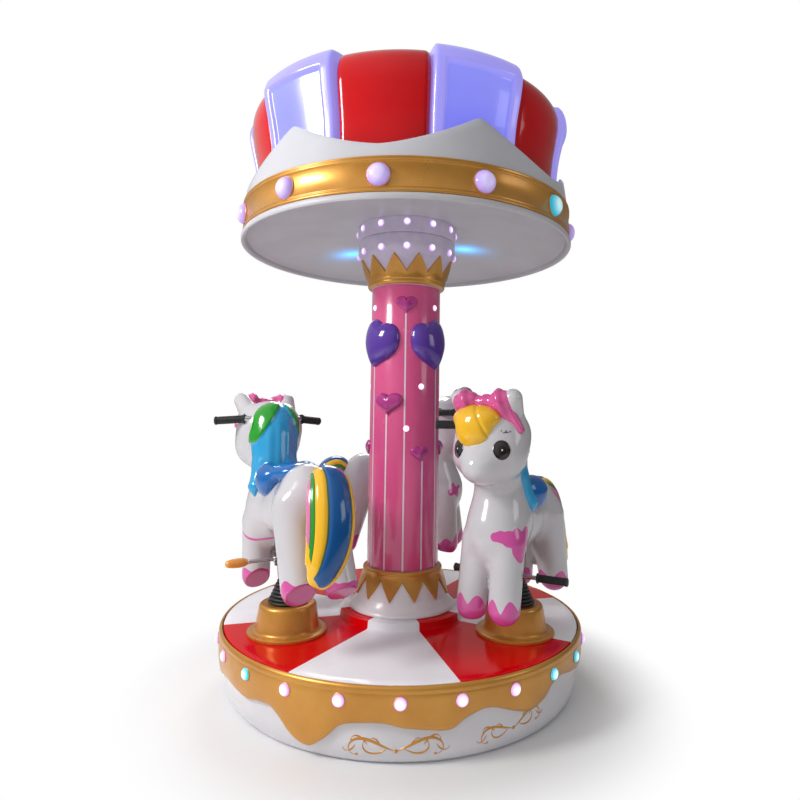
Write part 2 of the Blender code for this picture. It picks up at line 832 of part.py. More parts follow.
def pony_meshes():
    """Each pony's pieces in its own frame, each cut clear of what it sits on, for both kinds of handlebar."""
    seat = block((-0.0465, -0.0335, 0.150), (0.0865, 0.0335, BRACKET_TOP + GAP))
    body = skin(pony_distance, BODY_FORMS, 0.0085, 1300)
    mane = skin(melted(MANE_FORMS), MANE_FORMS, 0.007, 330)
    forelock = skin(melted(FORELOCK_FORMS), FORELOCK_FORMS, 0.006, 150)
    bow = skin(melted(BOW_FORMS), BOW_FORMS, 0.005, 200)
    saddle = skin(melted(SADDLE_FORMS), SADDLE_FORMS, 0.006, 280)
    tail = tail_mesh()
    body_clear, mane_clear, forelock_clear, saddle_clear = [grown(m, 0.0006) for m in (body, mane, forelock, saddle)]
    out = {}
    for name, sides in BAR_SIDES.items():
        bar_clear = handlebar_parts(sides, 0.0006)
        out[name] = {
            "body": cut(body.copy(), [p.copy() for p in bar_clear] + [seat.copy()]),
            "mane": cut(mane.copy(), [body_clear.copy()] + [p.copy() for p in bar_clear]),
            "forelock": cut(forelock.copy(), [body_clear.copy(), mane_clear.copy()]),
            "bow": cut(bow.copy(), [m.copy() for m in (body_clear, mane_clear, forelock_clear)]),
            "saddle": cut(saddle.copy(), [body_clear.copy(), mane_clear.copy()]),
            "tail": cut(tail.copy(), [body_clear.copy(), saddle_clear.copy()]),
            "handlebar": union(handlebar_parts(sides)[0], handlebar_parts(sides)[1:]),
        }
    return out


def footrest_mesh(outer_grip):
    """The steel saddle bracket under the belly with the foot bar through it."""
    bracket = block((-0.045, -0.032, 0.2005), (0.085, 0.032, BRACKET_TOP))
    slot = block((-0.10, -0.023, 0.15), (0.06, 0.023, 0.289))
    pin_hole = rod_across(0.0, PIVOT_Z, PIN_R + RUN, 0.06)
    bracket = cut(bracket, [slot, pin_hole])
    bar_piece = rod_across(PEG_X, PEG_Z, PEG_R, 0.220, sides=10)
    outer = (0.111, 0.226, 0.0155) if outer_grip else (0.141, 0.226, 0.0130)
    sleeves = []
    for side, (near, far, fat) in ((-1, (0.111, 0.226, 0.0155)), (1, outer)):
        sleeves.append(limb((PEG_X, near * side, PEG_Z), (PEG_X, far * side, PEG_Z), fat, fat, sides=12))
    return union(bracket, [bar_piece] + sleeves)


def post_mesh():
    post = limb((0, 0, 0.015), (0, 0, PIVOT_Z + 0.014), POST_R, POST_R, sides=16)
    pin = rod_across(0.0, PIVOT_Z, PIN_R, 0.034, sides=12)
    return union(post, [pin])


def make_ponies(white, blue, pink, steel, tail_blue, yellow):
    meshes = pony_meshes()
    paints = {"body": white, "mane": blue, "bow": pink, "saddle": tail_blue, "tail": tail_blue}
    paints.update({"forelock": yellow, "handlebar": steel})
    post = post_mesh()
    for name, (azimuth, lift, nose_down, outer_peg_grip) in PONIES.items():
        turn = math.radians(azimuth)
        heading = Vector((-math.cos(turn), -math.sin(turn), 0))
        outward = Vector((math.sin(turn), -math.cos(turn), 0))
        frame = Matrix((heading, outward, (0, 0, 1))).transposed().to_4x4()
        spot = Matrix.Translation(round_the_axis(azimuth, RIDE_R, DECK + lift)) @ frame
        placed("post_" + name, post.copy(), steel, spot)
        pivot = Matrix.Translation((0, 0, PIVOT_Z))
        rock = pivot @ Matrix.Rotation(math.radians(nose_down), 4, "Y") @ pivot.inverted()
        for piece, mesh in meshes[name].items():
            placed("pony_%s_%s" % (name, piece), mesh, paints[piece], spot @ rock)
        placed("pony_%s_footrest" % name, footrest_mesh(outer_peg_grip), steel, spot @ rock)


def main():
    for old in list(bpy.data.objects):
        bpy.data.objects.remove(old)
    white = material("white gelcoat", (0.80, 0.79, 0.80), 0.25)
    gold = material("gold paint", (0.62, 0.36, 0.09), 0.35, 0.8)
    red = material("red gelcoat", (0.70, 0.01, 0.02), 0.2)
    pink = material("pink gelcoat", (0.62, 0.09, 0.25), 0.25)
    glow = material("light panel", (0.55, 0.58, 0.95), 0.3)
    steel = material("steel", (0.60, 0.60, 0.62), 0.3, 0.9)
    rubber = material("black rubber", (0.02, 0.02, 0.02), 0.7)
    light_blue = material("mane blue", (0.05, 0.40, 0.75), 0.3)
    deep_blue = material("deep blue", (0.01, 0.14, 0.40), 0.25)
    yellow = material("yellow", (0.95, 0.50, 0.02), 0.25)
    make_base(white, gold, steel)
    make_deck(red)
    make_pedestals(gold)
    make_bellows(rubber)
    make_column(white, gold, pink)
    make_canopy(white, gold, red, glow)
    make_ponies(white, light_blue, pink, steel, deep_blue, yellow)


main()
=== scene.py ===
import math

import bmesh
import bpy
import numpy as np
from mathutils import Matrix, Vector


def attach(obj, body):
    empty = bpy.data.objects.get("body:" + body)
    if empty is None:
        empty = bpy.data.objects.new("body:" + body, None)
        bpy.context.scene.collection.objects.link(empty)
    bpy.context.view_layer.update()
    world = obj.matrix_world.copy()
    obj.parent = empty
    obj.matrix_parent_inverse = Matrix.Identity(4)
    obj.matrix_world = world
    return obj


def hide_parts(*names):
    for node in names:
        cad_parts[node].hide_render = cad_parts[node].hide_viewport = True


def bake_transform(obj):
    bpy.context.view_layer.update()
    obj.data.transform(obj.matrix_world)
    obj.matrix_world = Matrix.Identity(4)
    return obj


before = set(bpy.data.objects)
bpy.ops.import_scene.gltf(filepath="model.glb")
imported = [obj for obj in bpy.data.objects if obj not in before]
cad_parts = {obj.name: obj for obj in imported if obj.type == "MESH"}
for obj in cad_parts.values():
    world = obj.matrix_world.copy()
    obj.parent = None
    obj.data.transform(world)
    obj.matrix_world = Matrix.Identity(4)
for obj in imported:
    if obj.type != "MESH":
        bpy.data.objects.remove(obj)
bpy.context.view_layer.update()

# Azimuths run from -Y, the side that faces the camera, towards +X. Sizes are metres.
DECK = 0.247
TUB_R = 0.711
RIM_BULBS = 24
RIM_BULB_Z = 0.199
RIM_BULB_R = 0.0200
CYAN_BULBS = (3, 4, 21)
SHAFT_R = 0.150
BAND_LAMPS = 12
BAND_LAMP_Z = 1.866
CYAN_DOME = 2
CREST_FOOT = 1.9322
CROWN_PHASE = -8.0
RIDE_R = 0.502
PIVOT_Z = 0.235
# The cyan glows painted on the soffit under the canopy as (x, y, reach), and each pony's azimuth, lift and
# rock at rest
GLOWS = ((-0.27, 0.36, 0.060), (0.28, 0.26, 0.060))
PONIES = {"1": (60.0, 0.000, 0.0), "2": (-60.0, 0.040, 8.0), "3": (180.0, 0.050, 0.0)}


def srgb(red, green, blue):
    """A colour as seen, 0 to 255, as the linear values that the shader takes."""
    return tuple((value / 255.0) ** 2.2 for value in (red, green, blue))


WHITE = srgb(222, 220, 225)
PONY_WHITE = srgb(208, 205, 209)
# The crest takes a greyer copy of the white gelcoat, as painted shade; the cap shares it
SHADED_CROWN_WHITE = srgb(206, 206, 212)
GOLD = srgb(230, 166, 76)
PINK = srgb(226, 88, 142)
HOOF_PINK = srgb(212, 84, 160)
BOW_PINK = srgb(222, 88, 152)
MAGENTA = srgb(182, 56, 136)
PURPLE = srgb(92, 58, 160)
YELLOW = srgb(250, 190, 35)
GREEN = srgb(30, 150, 35)
SKY = srgb(44, 162, 216)
DEEP_BLUE = srgb(0, 88, 156)
SEAT_BLUE = srgb(0, 104, 182)


# Materials


def shader_of(name):
    made = bpy.data.materials.new(name)
    made.use_nodes = True
    nodes = made.node_tree.nodes
    return made, nodes, made.node_tree.links, nodes["Principled BSDF"]


def mottle(nodes, links, scale, detail=3.0):
    """Soft noise over the piece's own place in the object's frame."""
    place = nodes.new("ShaderNodeTexCoord")
    noise = nodes.new("ShaderNodeTexNoise")
    noise.inputs["Scale"].default_value = scale
    noise.inputs["Detail"].default_value = detail
    links.new(place.outputs["Object"], noise.inputs["Vector"])
    return noise.outputs["Fac"]


def attribute_of(nodes, name):
    read = nodes.new("ShaderNodeAttribute")
    read.attribute_name = name
    return read.outputs["Fac"]


def ramped(nodes, links, value, start, end, low=0.0, high=1.0, eased=False):
    """The value carried from start..end to low..high, and held at both ends."""
    span = nodes.new("ShaderNodeMapRange")
    if eased:
        span.interpolation_type = "SMOOTHSTEP"
    for label, number in (("From Min", start), ("From Max", end), ("To Min", low), ("To Max", high)):
        span.inputs[label].default_value = number
    links.new(value, span.inputs["Value"])
    return span.outputs["Result"]


def spread(nodes, links, scale, low, high, detail=3.0):
    """Soft noise spread over low to high."""
    return ramped(nodes, links, mottle(nodes, links, scale, detail), 0.25, 0.75, low, high)


def product(nodes, links, first, second):
    """Two values multiplied: a socket, and a socket or a number."""
    made = nodes.new("ShaderNodeMath")
    made.operation = "MULTIPLY"
    links.new(first, made.inputs[0])
    if isinstance(second, float):
        made.inputs[1].default_value = second
    else:
        links.new(second, made.inputs[1])
    return made.outputs[0]


def blended(nodes, links, share, under, over):
    """under with over mixed in by share. Each is a colour or a socket."""
    mix = nodes.new("ShaderNodeMix")
    mix.data_type = "RGBA"
    if isinstance(share, float):
        mix.inputs["Factor"].default_value = share
    else:
        links.new(share, mix.inputs["Factor"])
    for socket, colour in ((mix.inputs[6], under), (mix.inputs[7], over)):
        if isinstance(colour, tuple):
            socket.default_value = (*colour, 1.0)
        else:
            links.new(colour, socket)
    return mix.outputs[2]


def inside(nodes, links, attribute):
    """1 where the piece's own attribute is above zero, with a thin soft edge."""
    soft = 0.0007
    return ramped(nodes, links, attribute_of(nodes, attribute), -soft, soft)


def finish_surface(nodes, links, shader, rough, bump_scale, bump_depth):
    """Roughness that varies a little, and a fine skin texture."""
    links.new(spread(nodes, links, 9.0, rough * 0.75, rough * 1.3), shader.inputs["Roughness"])
    bump = nodes.new("ShaderNodeBump")
    bump.inputs["Strength"].default_value = 0.35
    bump.inputs["Distance"].default_value = bump_depth
    links.new(mottle(nodes, links, bump_scale, 2.0), bump.inputs["Height"])
    links.new(bump.outputs["Normal"], shader.inputs["Normal"])


def gelcoat(name, colour, layers=(), rough=0.16, coat=0.6):
    """Glossy moulded glass-fibre in one colour, with painted areas as (attribute, colour) layers."""
    made, nodes, links, shader = shader_of(name)
    darker = tuple(0.90 * c for c in colour)
    paint = blended(nodes, links, spread(nodes, links, 5.0, 0.0, 1.0), colour, darker)
    for attribute, over in layers:
        paint = blended(nodes, links, inside(nodes, links, attribute), paint, over)
    links.new(paint, shader.inputs["Base Color"])
    shader.inputs["Coat Weight"].default_value = coat
    shader.inputs["Coat Roughness"].default_value = 0.05
    finish_surface(nodes, links, shader, rough, 70.0, 0.0004)
    return made


def gold_paint(name):
    made, nodes, links, shader = shader_of(name)
    flakes = spread(nodes, links, 900.0, 0.0, 1.0, detail=0.0)
    deep = blended(nodes, links, flakes, GOLD, tuple(0.80 * c for c in GOLD))
    wide = spread(nodes, links, 6.0, 0.0, 0.5)
    links.new(blended(nodes, links, wide, deep, srgb(176, 108, 36)), shader.inputs["Base Color"])
    shader.inputs["Metallic"].default_value = 0.55
    shader.inputs["Coat Weight"].default_value = 0.35
    shader.inputs["Coat Roughness"].default_value = 0.12
    finish_surface(nodes, links, shader, 0.34, 120.0, 0.0003)
    return made


def lamp_paint(name, edge, core, strength, cyan=False):
    """A small lamp that shines white from its core and tinted at its edge."""
    made, nodes, links, shader = shader_of(name)
    share = ramped(nodes, links, attribute_of(nodes, "core"), 0.05, 0.55)
    glow = blended(nodes, links, share, edge, core)
    if cyan:
        tint = blended(nodes, links, share, srgb(40, 180, 215), srgb(200, 250, 255))
        glow = blended(nodes, links, inside(nodes, links, "cyan"), glow, tint)
    links.new(glow, shader.inputs["Base Color"])
    links.new(glow, shader.inputs["Emission Color"])
    power = product(nodes, links, spread(nodes, links, 260.0, 0.92, 1.08), strength)
    links.new(power, shader.inputs["Emission Strength"])
    shader.inputs["Roughness"].default_value = 0.2
    return made


def metal(name, colour, rough):
    made, nodes, links, shader = shader_of(name)
    shader.inputs["Base Color"].default_value = (*colour, 1.0)
    shader.inputs["Metallic"].default_value = 1.0
    finish_surface(nodes, links, shader, rough, 400.0, 0.0001)
    return made


def rubber(name):
    made, nodes, links, shader = shader_of(name)
    grey = blended(nodes, links, spread(nodes, links, 30.0, 0.0, 1.0), (0.012,) * 3, (0.03,) * 3)
    links.new(grey, shader.inputs["Base Color"])
    finish_surface(nodes, links, shader, 0.42, 500.0, 0.0002)
    return made


# Shapes


def on_circle(azimuth, radius, z=0.0):
    turn = math.radians(azimuth)
    return Vector((radius * math.sin(turn), -radius * math.cos(turn), z))


def azimuth_of(points):
    return np.degrees(np.arctan2(points[:, 0], -points[:, 1]))


def smooth_mesh(mesh, sharp=40.0):
    mesh.shade_smooth()
    mesh.set_sharp_from_angle(angle=math.radians(sharp))
    return mesh


def piece(name, mesh, body, paint, nodes=(), sharp=40.0):
    """A finished piece that rides on a body and stands for the named CAD nodes."""
    smooth_mesh(mesh, sharp)
    made = bpy.data.objects.new(name, mesh)
    bpy.context.scene.collection.objects.link(made)
    mesh.materials.append(paint)
    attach(made, body)
    if nodes:
        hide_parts(*nodes)
    return made


def closed(bm):
    bmesh.ops.remove_doubles(bm, verts=bm.verts, dist=1e-6)
    bmesh.ops.recalc_face_normals(bm, faces=bm.faces)
    if bm.calc_volume(signed=True) < 0:
        bmesh.ops.reverse_faces(bm, faces=bm.faces)
    mesh = bpy.data.meshes.new("mesh")
    bm.to_mesh(mesh)
    bm.free()
    return mesh


def join_rows(bm, rows, steps):
    """Faces between neighbouring rows of corners. A row of one corner is a pole."""
    for low, high in zip(rows, rows[1:]):
        for j in range(steps):
            k = (j + 1) % steps
            corners = []
            for vertex in (low[j % len(low)], low[k % len(low)], high[k % len(high)], high[j % len(high)]):
                if vertex not in corners:
                    corners.append(vertex)
            bm.faces.new(corners)


def ring(sections, whole=True):
    """A closed ring, or stretch of one, through (azimuth, [(radius, z), ...]) sections in order."""
    bm = bmesh.new()
    loops = [[bm.verts.new(on_circle(azimuth, r, z)) for r, z in section] for azimuth, section in sections]
    nexts = loops[1:] + loops[:1] if whole else loops[1:]
    for here, there in zip(loops, nexts):
        for i in range(len(here)):
            j = (i + 1) % len(here)
            bm.faces.new((here[i], there[i], there[j], here[j]))
    if not whole:
        bm.faces.new(loops[0][::-1])
        bm.faces.new(loops[-1])
    return closed(bm)


def turned(profile, steps=144):
    """The closed (radius, z) profile carried round the axis. Its points on the axis become poles."""
    return ring([(360.0 * k / steps, profile) for k in range(steps)])


def rounded(points, radius, steps=4):
    """The closed outline with each corner rounded off."""
    out = []
    count = len(points)
    for i, (r, z) in enumerate(points):
        before, after = Vector(points[i - 1]), Vector(points[(i + 1) % count])
        here = Vector((r, z))
        if r < 1e-6:
            out.append((r, z))
            continue
        to_before, to_after = before - here, after - here
        reach = min(radius, to_before.length * 0.45, to_after.length * 0.45)
        start, end = here + to_before.normalized() * reach, here + to_after.normalized() * reach
        for k in range(steps + 1):
            t = k / steps
            point = start * (1 - t) ** 2 + here * 2 * t * (1 - t) + end * t**2
            out.append((point.x, point.y))
    return out


# Smooth bodies made of melted forms. Each form gives its distance from an (N, 3) array of points.


def egg(centre, radii, yaw=0.0):
    """An ellipsoid, turned to the left by yaw degrees."""
    turn = np.array(Matrix.Rotation(math.radians(yaw), 3, "Z"))
    centre, radii = np.array(centre, float), np.array(radii, float)

    def distance(points):
        local = (points - centre) @ turn
        near = np.linalg.norm(local / radii, axis=1)
        slope = np.linalg.norm(local / radii**2, axis=1) + 1e-9
        return near * (near - 1.0) / slope

    distance.hull = (centre, radii, turn)
    return distance


def bar(start, end, start_r, end_r):
    """A round-ended tapered limb."""
    start, end = np.array(start, float), np.array(end, float)
    along = end - start

    def distance(points):
        local = points - start
        t = np.clip(local @ along / (along @ along), 0.0, 1.0)
        return np.linalg.norm(local - t[:, None] * along, axis=1) - (start_r + (end_r - start_r) * t)

    distance.limb = (start, end, start_r, end_r)
    return distance


def mirrored(make, *places, **words):
    """The form and its mirror image across y = 0."""
    flip = [tuple(np.array(p, float) * (1, -1, 1)) if np.size(p) == 3 else p for p in places]
    if make is egg:
        flip[1] = places[1]
        words_flip = dict(words, yaw=-words.get("yaw", 0.0))
    else:
        words_flip = words
    return [make(*places, **words), make(*flip, **words_flip)]


def melt(near, other, blend):
    share = np.clip(0.5 + 0.5 * (near - other) / blend, 0.0, 1.0)
    return near + (other - near) * share - blend * share * (1.0 - share)


def melted(groups):
    """The distance from all groups of (forms, blend) melted together."""

    def distance(points):
        total = None
        for forms, blend in groups:
            for form in forms:
                one = form(points)
                total = one if total is None else melt(total, one, blend)
        return total

    return distance


def rough_shell(groups):
    """Plain overlapping balls and limbs a little larger than the forms, for the first skin."""
    bm = bmesh.new()
    for forms, blend in groups:
        grow = 0.002 + 0.22 * blend
        for form in forms:
            if hasattr(form, "hull"):
                centre, radii, turn = form.hull
                size = Matrix.Diagonal((*(radii + grow), 1.0))
                balls = [Matrix.Translation(centre) @ Matrix(turn).to_4x4() @ size]
            else:
                first, last, first_r, last_r = form.limb
                balls = []
                for t in np.linspace(0.0, 1.0, 9):
                    r = first_r + (last_r - first_r) * t + grow
                    spot = Matrix.Translation(first + (last - first) * t)
                    balls.append(spot @ Matrix.Diagonal((r, r, r, 1.0)))
            for place in balls:
                bmesh.ops.create_uvsphere(bm, u_segments=20, v_segments=12, radius=1.0, matrix=place)
    mesh = bpy.data.meshes.new("shell")
    bm.to_mesh(mesh)
    bm.free()
    return mesh


def with_modifier(mesh, kind, **settings):
    """A new mesh: this one after one modifier."""
    working = bpy.data.objects.new("working", mesh)
    bpy.context.scene.collection.objects.link(working)
    step = working.modifiers.new("step", kind)
    for key, value in settings.items():
        setattr(step, key, value)
    bpy.context.view_layer.update()
    graph = bpy.context.evaluated_depsgraph_get()
    made = bpy.data.meshes.new_from_object(working.evaluated_get(graph), depsgraph=graph)
    bpy.data.objects.remove(working)
    return made


def points_of(mesh):
    co = np.empty(len(mesh.vertices) * 3, np.float32)
    mesh.vertices.foreach_get("co", co)
    return co.reshape(-1, 3).astype(float)


def set_points(mesh, points):
    mesh.vertices.foreach_set("co", np.asarray(points, np.float32).ravel())
    mesh.update()


def slope_of(distance, points, step=0.0008):
    here = distance(points)
    out = np.empty_like(points)
    for axis in range(3):
        ahead = points.copy()
        ahead[:, axis] += step
        out[:, axis] = (distance(ahead) - here) / step
    return out


def skin(distance, groups, voxel, rounds=3, relief=None):
    """A fine mesh on the surface where the distance is zero, pushed out by relief(points) where given."""
    mesh = with_modifier(rough_shell(groups), "REMESH", mode="VOXEL", voxel_size=voxel)
    for turn in range(rounds):
        mesh = with_modifier(mesh, "SMOOTH", factor=0.5, iterations=3)
        points = points_of(mesh)
        for _ in range(2 if turn == rounds - 1 else 1):
            slope = slope_of(distance, points)
            size = np.maximum((slope**2).sum(axis=1), 0.05)
            move = -distance(points)[:, None] * slope / size[:, None]
            points += np.clip(move, -0.01, 0.01)
        set_points(mesh, points)
    if relief:
        slope = slope_of(distance, points)
        slope /= np.linalg.norm(slope, axis=1)[:, None] + 1e-9
        set_points(mesh, points + slope * relief(points)[:, None])
    return mesh


def mark(mesh, name, values):
    made = mesh.attributes.new(name, "FLOAT", "POINT")
    made.data.foreach_set("value", np.asarray(values, np.float32))


# The pony in its own frame: x forward, y to its left, z up from the deck, its post at the origin


BODY_FORMS = [
    ([egg((0.00, 0, 0.430), (0.25, 0.100, 0.118))], 0.03),
    ([egg((0.190, 0, 0.400), (0.112, 0.112, 0.135))], 0.05),
    ([egg((-0.200, 0, 0.450), (0.116, 0.104, 0.126))], 0.05),
    ([bar((0.140, 0, 0.470), (0.190, 0, 0.660), 0.098, 0.084)], 0.06),
    ([bar((0.224, 0.056, 0.370), (0.256, 0.054, 0.158), 0.060, 0.056)], 0.026),
    ([bar((0.204, -0.064, 0.370), (0.216, -0.084, 0.146), 0.060, 0.057)], 0.026),
    ([bar((-0.215, 0.060, 0.420), (-0.285, 0.070, 0.156), 0.074, 0.060)], 0.035),
    ([bar((-0.215, -0.060, 0.420), (-0.285, -0.084, 0.150), 0.074, 0.060)], 0.035),
]
HEAD_FORMS = [
    ([egg((0.225, 0, 0.755), (0.128, 0.138, 0.118))], 0.035),
    ([egg((0.262, 0, 0.680), (0.106, 0.132, 0.098))], 0.05),
    ([egg((0.345, 0, 0.645), (0.064, 0.060, 0.054))], 0.05),
    (mirrored(bar, (0.240, 0.078, 0.815), (0.292, 0.100, 0.884), 0.044, 0.034), 0.018),
]
MANE_FORMS = [
    ([egg((0.155, 0.000, 0.762), (0.084, 0.098, 0.092))], 0.02),
    ([egg((0.132, 0.004, 0.680), (0.076, 0.094, 0.100))], 0.04),
    ([egg((0.118, 0.010, 0.590), (0.068, 0.086, 0.080))], 0.04),
    ([bar((0.172, 0.062, 0.720), (0.158, 0.060, 0.620), 0.040, 0.036)], 0.03),
    ([bar((0.134, 0.060, 0.580), (0.106, 0.098, 0.508), 0.044, 0.034)], 0.03),
    ([bar((0.106, 0.098, 0.506), (0.098, 0.100, 0.478), 0.032, 0.014)], 0.008),
    ([bar((0.098, -0.030, 0.570), (0.112, -0.076, 0.510), 0.046, 0.018)], 0.03),
]
SADDLE_FORMS = [
    ([egg((-0.060, 0, 0.548), (0.115, 0.094, 0.044))], 0.02),
    (mirrored(egg, (0.020, 0.072, 0.530), (0.092, 0.050, 0.069), yaw=-18.0), 0.025),
]
FORELOCK_FORMS = [
    ([egg((0.312, -0.026, 0.812), (0.064, 0.092, 0.052), yaw=-8.0)], 0.02),
    ([egg((0.342, -0.024, 0.766), (0.046, 0.066, 0.058))], 0.03),
]
BOW_FORMS = [
    ([egg((0.296, 0.000, 0.872), (0.036, 0.040, 0.028))], 0.006),
    ([egg((0.304, -0.070, 0.872), (0.044, 0.046, 0.044), yaw=-15.0)], 0.008),
    ([egg((0.298, 0.058, 0.872), (0.044, 0.046, 0.046), yaw=15.0)], 0.008),
    ([bar((0.300, 0.074, 0.846), (0.278, 0.122, 0.776), 0.026, 0.013)], 0.012),
]
TAIL_LINE = [
    (-0.280, -0.006, 0.490, 0.022),
    (-0.325, -0.012, 0.516, 0.042),
    (-0.368, -0.014, 0.497, 0.058),
    (-0.396, -0.008, 0.440, 0.066),
    (-0.412, 0.000, 0.365, 0.067),
    (-0.420, 0.016, 0.284, 0.061),
    (-0.428, 0.048, 0.214, 0.046),
    (-0.430, 0.086, 0.182, 0.022),
]
TAIL_FLAT = 1.25
TAIL_EDGES = {1: (0.41, 1.06, 1.36), -1: (0.78, 1.45, 1.90)}


def facing(place, normal):
    """How far a point is on the far side of the plane through place that faces along normal."""
    normal = np.array(normal, float) / np.linalg.norm(normal)

    def distance(points):
        return (points - np.array(place)) @ normal

    return distance


# The middle of each foot, the way its sole faces and how far the sole lies from that middle
FEET = (
    ((0.256, 0.054, 0.158), (-0.71, 0, -0.71), 0.028),
    ((0.216, -0.084, 0.146), (-0.16, 0, -0.99), 0.040),
    ((-0.285, 0.070, 0.156), (-0.72, 0, -0.69), 0.032),
    ((-0.285, -0.084, 0.150), (-0.50, 0, -0.87), 0.034),
)
SOLES = [facing(np.array(foot) + reach * np.array(way), way) for foot, way, reach in FEET]


def legs_of(points):
    """For each point, which of the four legs it belongs to."""
    return np.where(points[:, 0] > 0, 0, 2) + np.where(points[:, 1] > 0, 0, 1)


def sole_distance(points):
    return np.choose(legs_of(points), [one(points) for one in SOLES])


def pony_distance(points):
    total = melted(BODY_FORMS + HEAD_FORMS)(points)
    cut = -melt(-total, -sole_distance(points), 0.004)
    return np.where(points[:, 2] < 0.27, cut, total)


def hoof_paint(points):
    """Above zero on the painted hooves, whose upper edge runs in pointed leaves round each leg."""
    leg = legs_of(points)
    centre_x, centre_y = [np.choose(leg, [foot[axis] for foot, *_ in FEET]) for axis in (0, 1)]
    angle = np.arctan2(points[:, 1] - centre_y, points[:, 0] - centre_x) + 0.5
    leaf = np.abs(np.cos(2.5 * angle)) ** 1.2
    ahead = 0.5 + 0.5 * np.cos(angle - 0.5)
    above = 0.5 * (points[:, 2] - 0.10) - 0.5 * sole_distance(points)
    edge = 0.036 + 0.024 * ahead + 0.036 * leaf * np.sqrt(ahead)
    return np.where(points[:, 2] < 0.3, edge - above, -0.1)


def splash(spots):
    """Above zero inside the ball-shaped spots (x, y, z, radius) of a painted patch."""

    def distance(points):
        total = None
        for *centre, radius in spots:
            one = np.linalg.norm(points - np.array(centre), axis=1) - radius
            total = one if total is None else melt(total, one, 0.007)
        return -total

    return distance


PATCHES = {
    "patch": [
        (0.298, 0.036, 0.406, 0.016), (0.292, 0.056, 0.408, 0.021), (0.274, 0.080, 0.400, 0.028),
        (0.246, 0.106, 0.390, 0.038), (0.205, 0.118, 0.398, 0.030), (0.198, 0.114, 0.420, 0.016),
        (0.250, 0.104, 0.420, 0.018), (0.248, 0.110, 0.362, 0.034), (0.246, 0.112, 0.342, 0.024),
    ],
    "patch_right": [
        (0.264, -0.098, 0.402, 0.024), (0.286, -0.078, 0.420, 0.016), (0.250, -0.104, 0.430, 0.015),
        (0.276, -0.090, 0.380, 0.015), (0.234, -0.112, 0.394, 0.017),
    ],
}


def build_pony_body():
    mesh = skin(pony_distance, BODY_FORMS + HEAD_FORMS, 0.0055)
    points = points_of(mesh)
    mark(mesh, "hoof", hoof_paint(points))
    # The sole mark carries a darker mauve paint on each sole, as painted shade on the faces that turn down
    mark(mesh, "sole", 0.004 + sole_distance(points) - 0.1 * (points[:, 2] > 0.27))
    for name, spots in PATCHES.items():
        mark(mesh, name, splash(spots)(points))
    round_leg = np.degrees(np.arctan2(points[:, 1] - 0.055, points[:, 0] - 0.236)) % 360.0
    sag = 0.299 + 0.053 * ((round_leg - 165.0) / 85.0) ** 2
    line = 0.0040 - 0.8 * np.abs(points[:, 2] - sag)
    leg = np.minimum(0.002 * np.minimum(round_leg - 50.0, 222.0 - round_leg), points[:, 0] - 0.100)
    mark(mesh, "crease", np.minimum(line, leg))
    return mesh


def padded(line):
    """The line's rows, with one more at each end that carries it straight on."""
    rows = np.array(line, float)
    return np.vstack([2 * rows[0] - rows[1], rows, 2 * rows[-1] - rows[-2]])


def between(rows, i, t):
    """The place at share t of the line's stretch i, on the smooth curve through the padded rows."""
    a, b, c, d = rows[i : i + 4]
    curve = 2 * b + (c - a) * t + (2 * a - 5 * b + 4 * c - d) * t**2
    return 0.5 * (curve + (3 * b - a - 3 * c + d) * t**3)


def along_line(line, count):
    """count + 1 places on the smooth curve through the line's rows."""
    rows = padded(line)
    out = []
    for k in range(count + 1):
        at = k / count * (len(line) - 1)
        i = min(int(at), len(line) - 2)
        out.append(between(rows, i, at - i))
    return np.array(out)


def through(points, per):
    """A smooth open curve through (radius, z) points, with per places between neighbours."""
    rows = padded(points)
    out = [between(rows, i, k / per) for i in range(len(points) - 1) for k in range(per)]
    return [tuple(place) for place in out + [rows[-2]]]


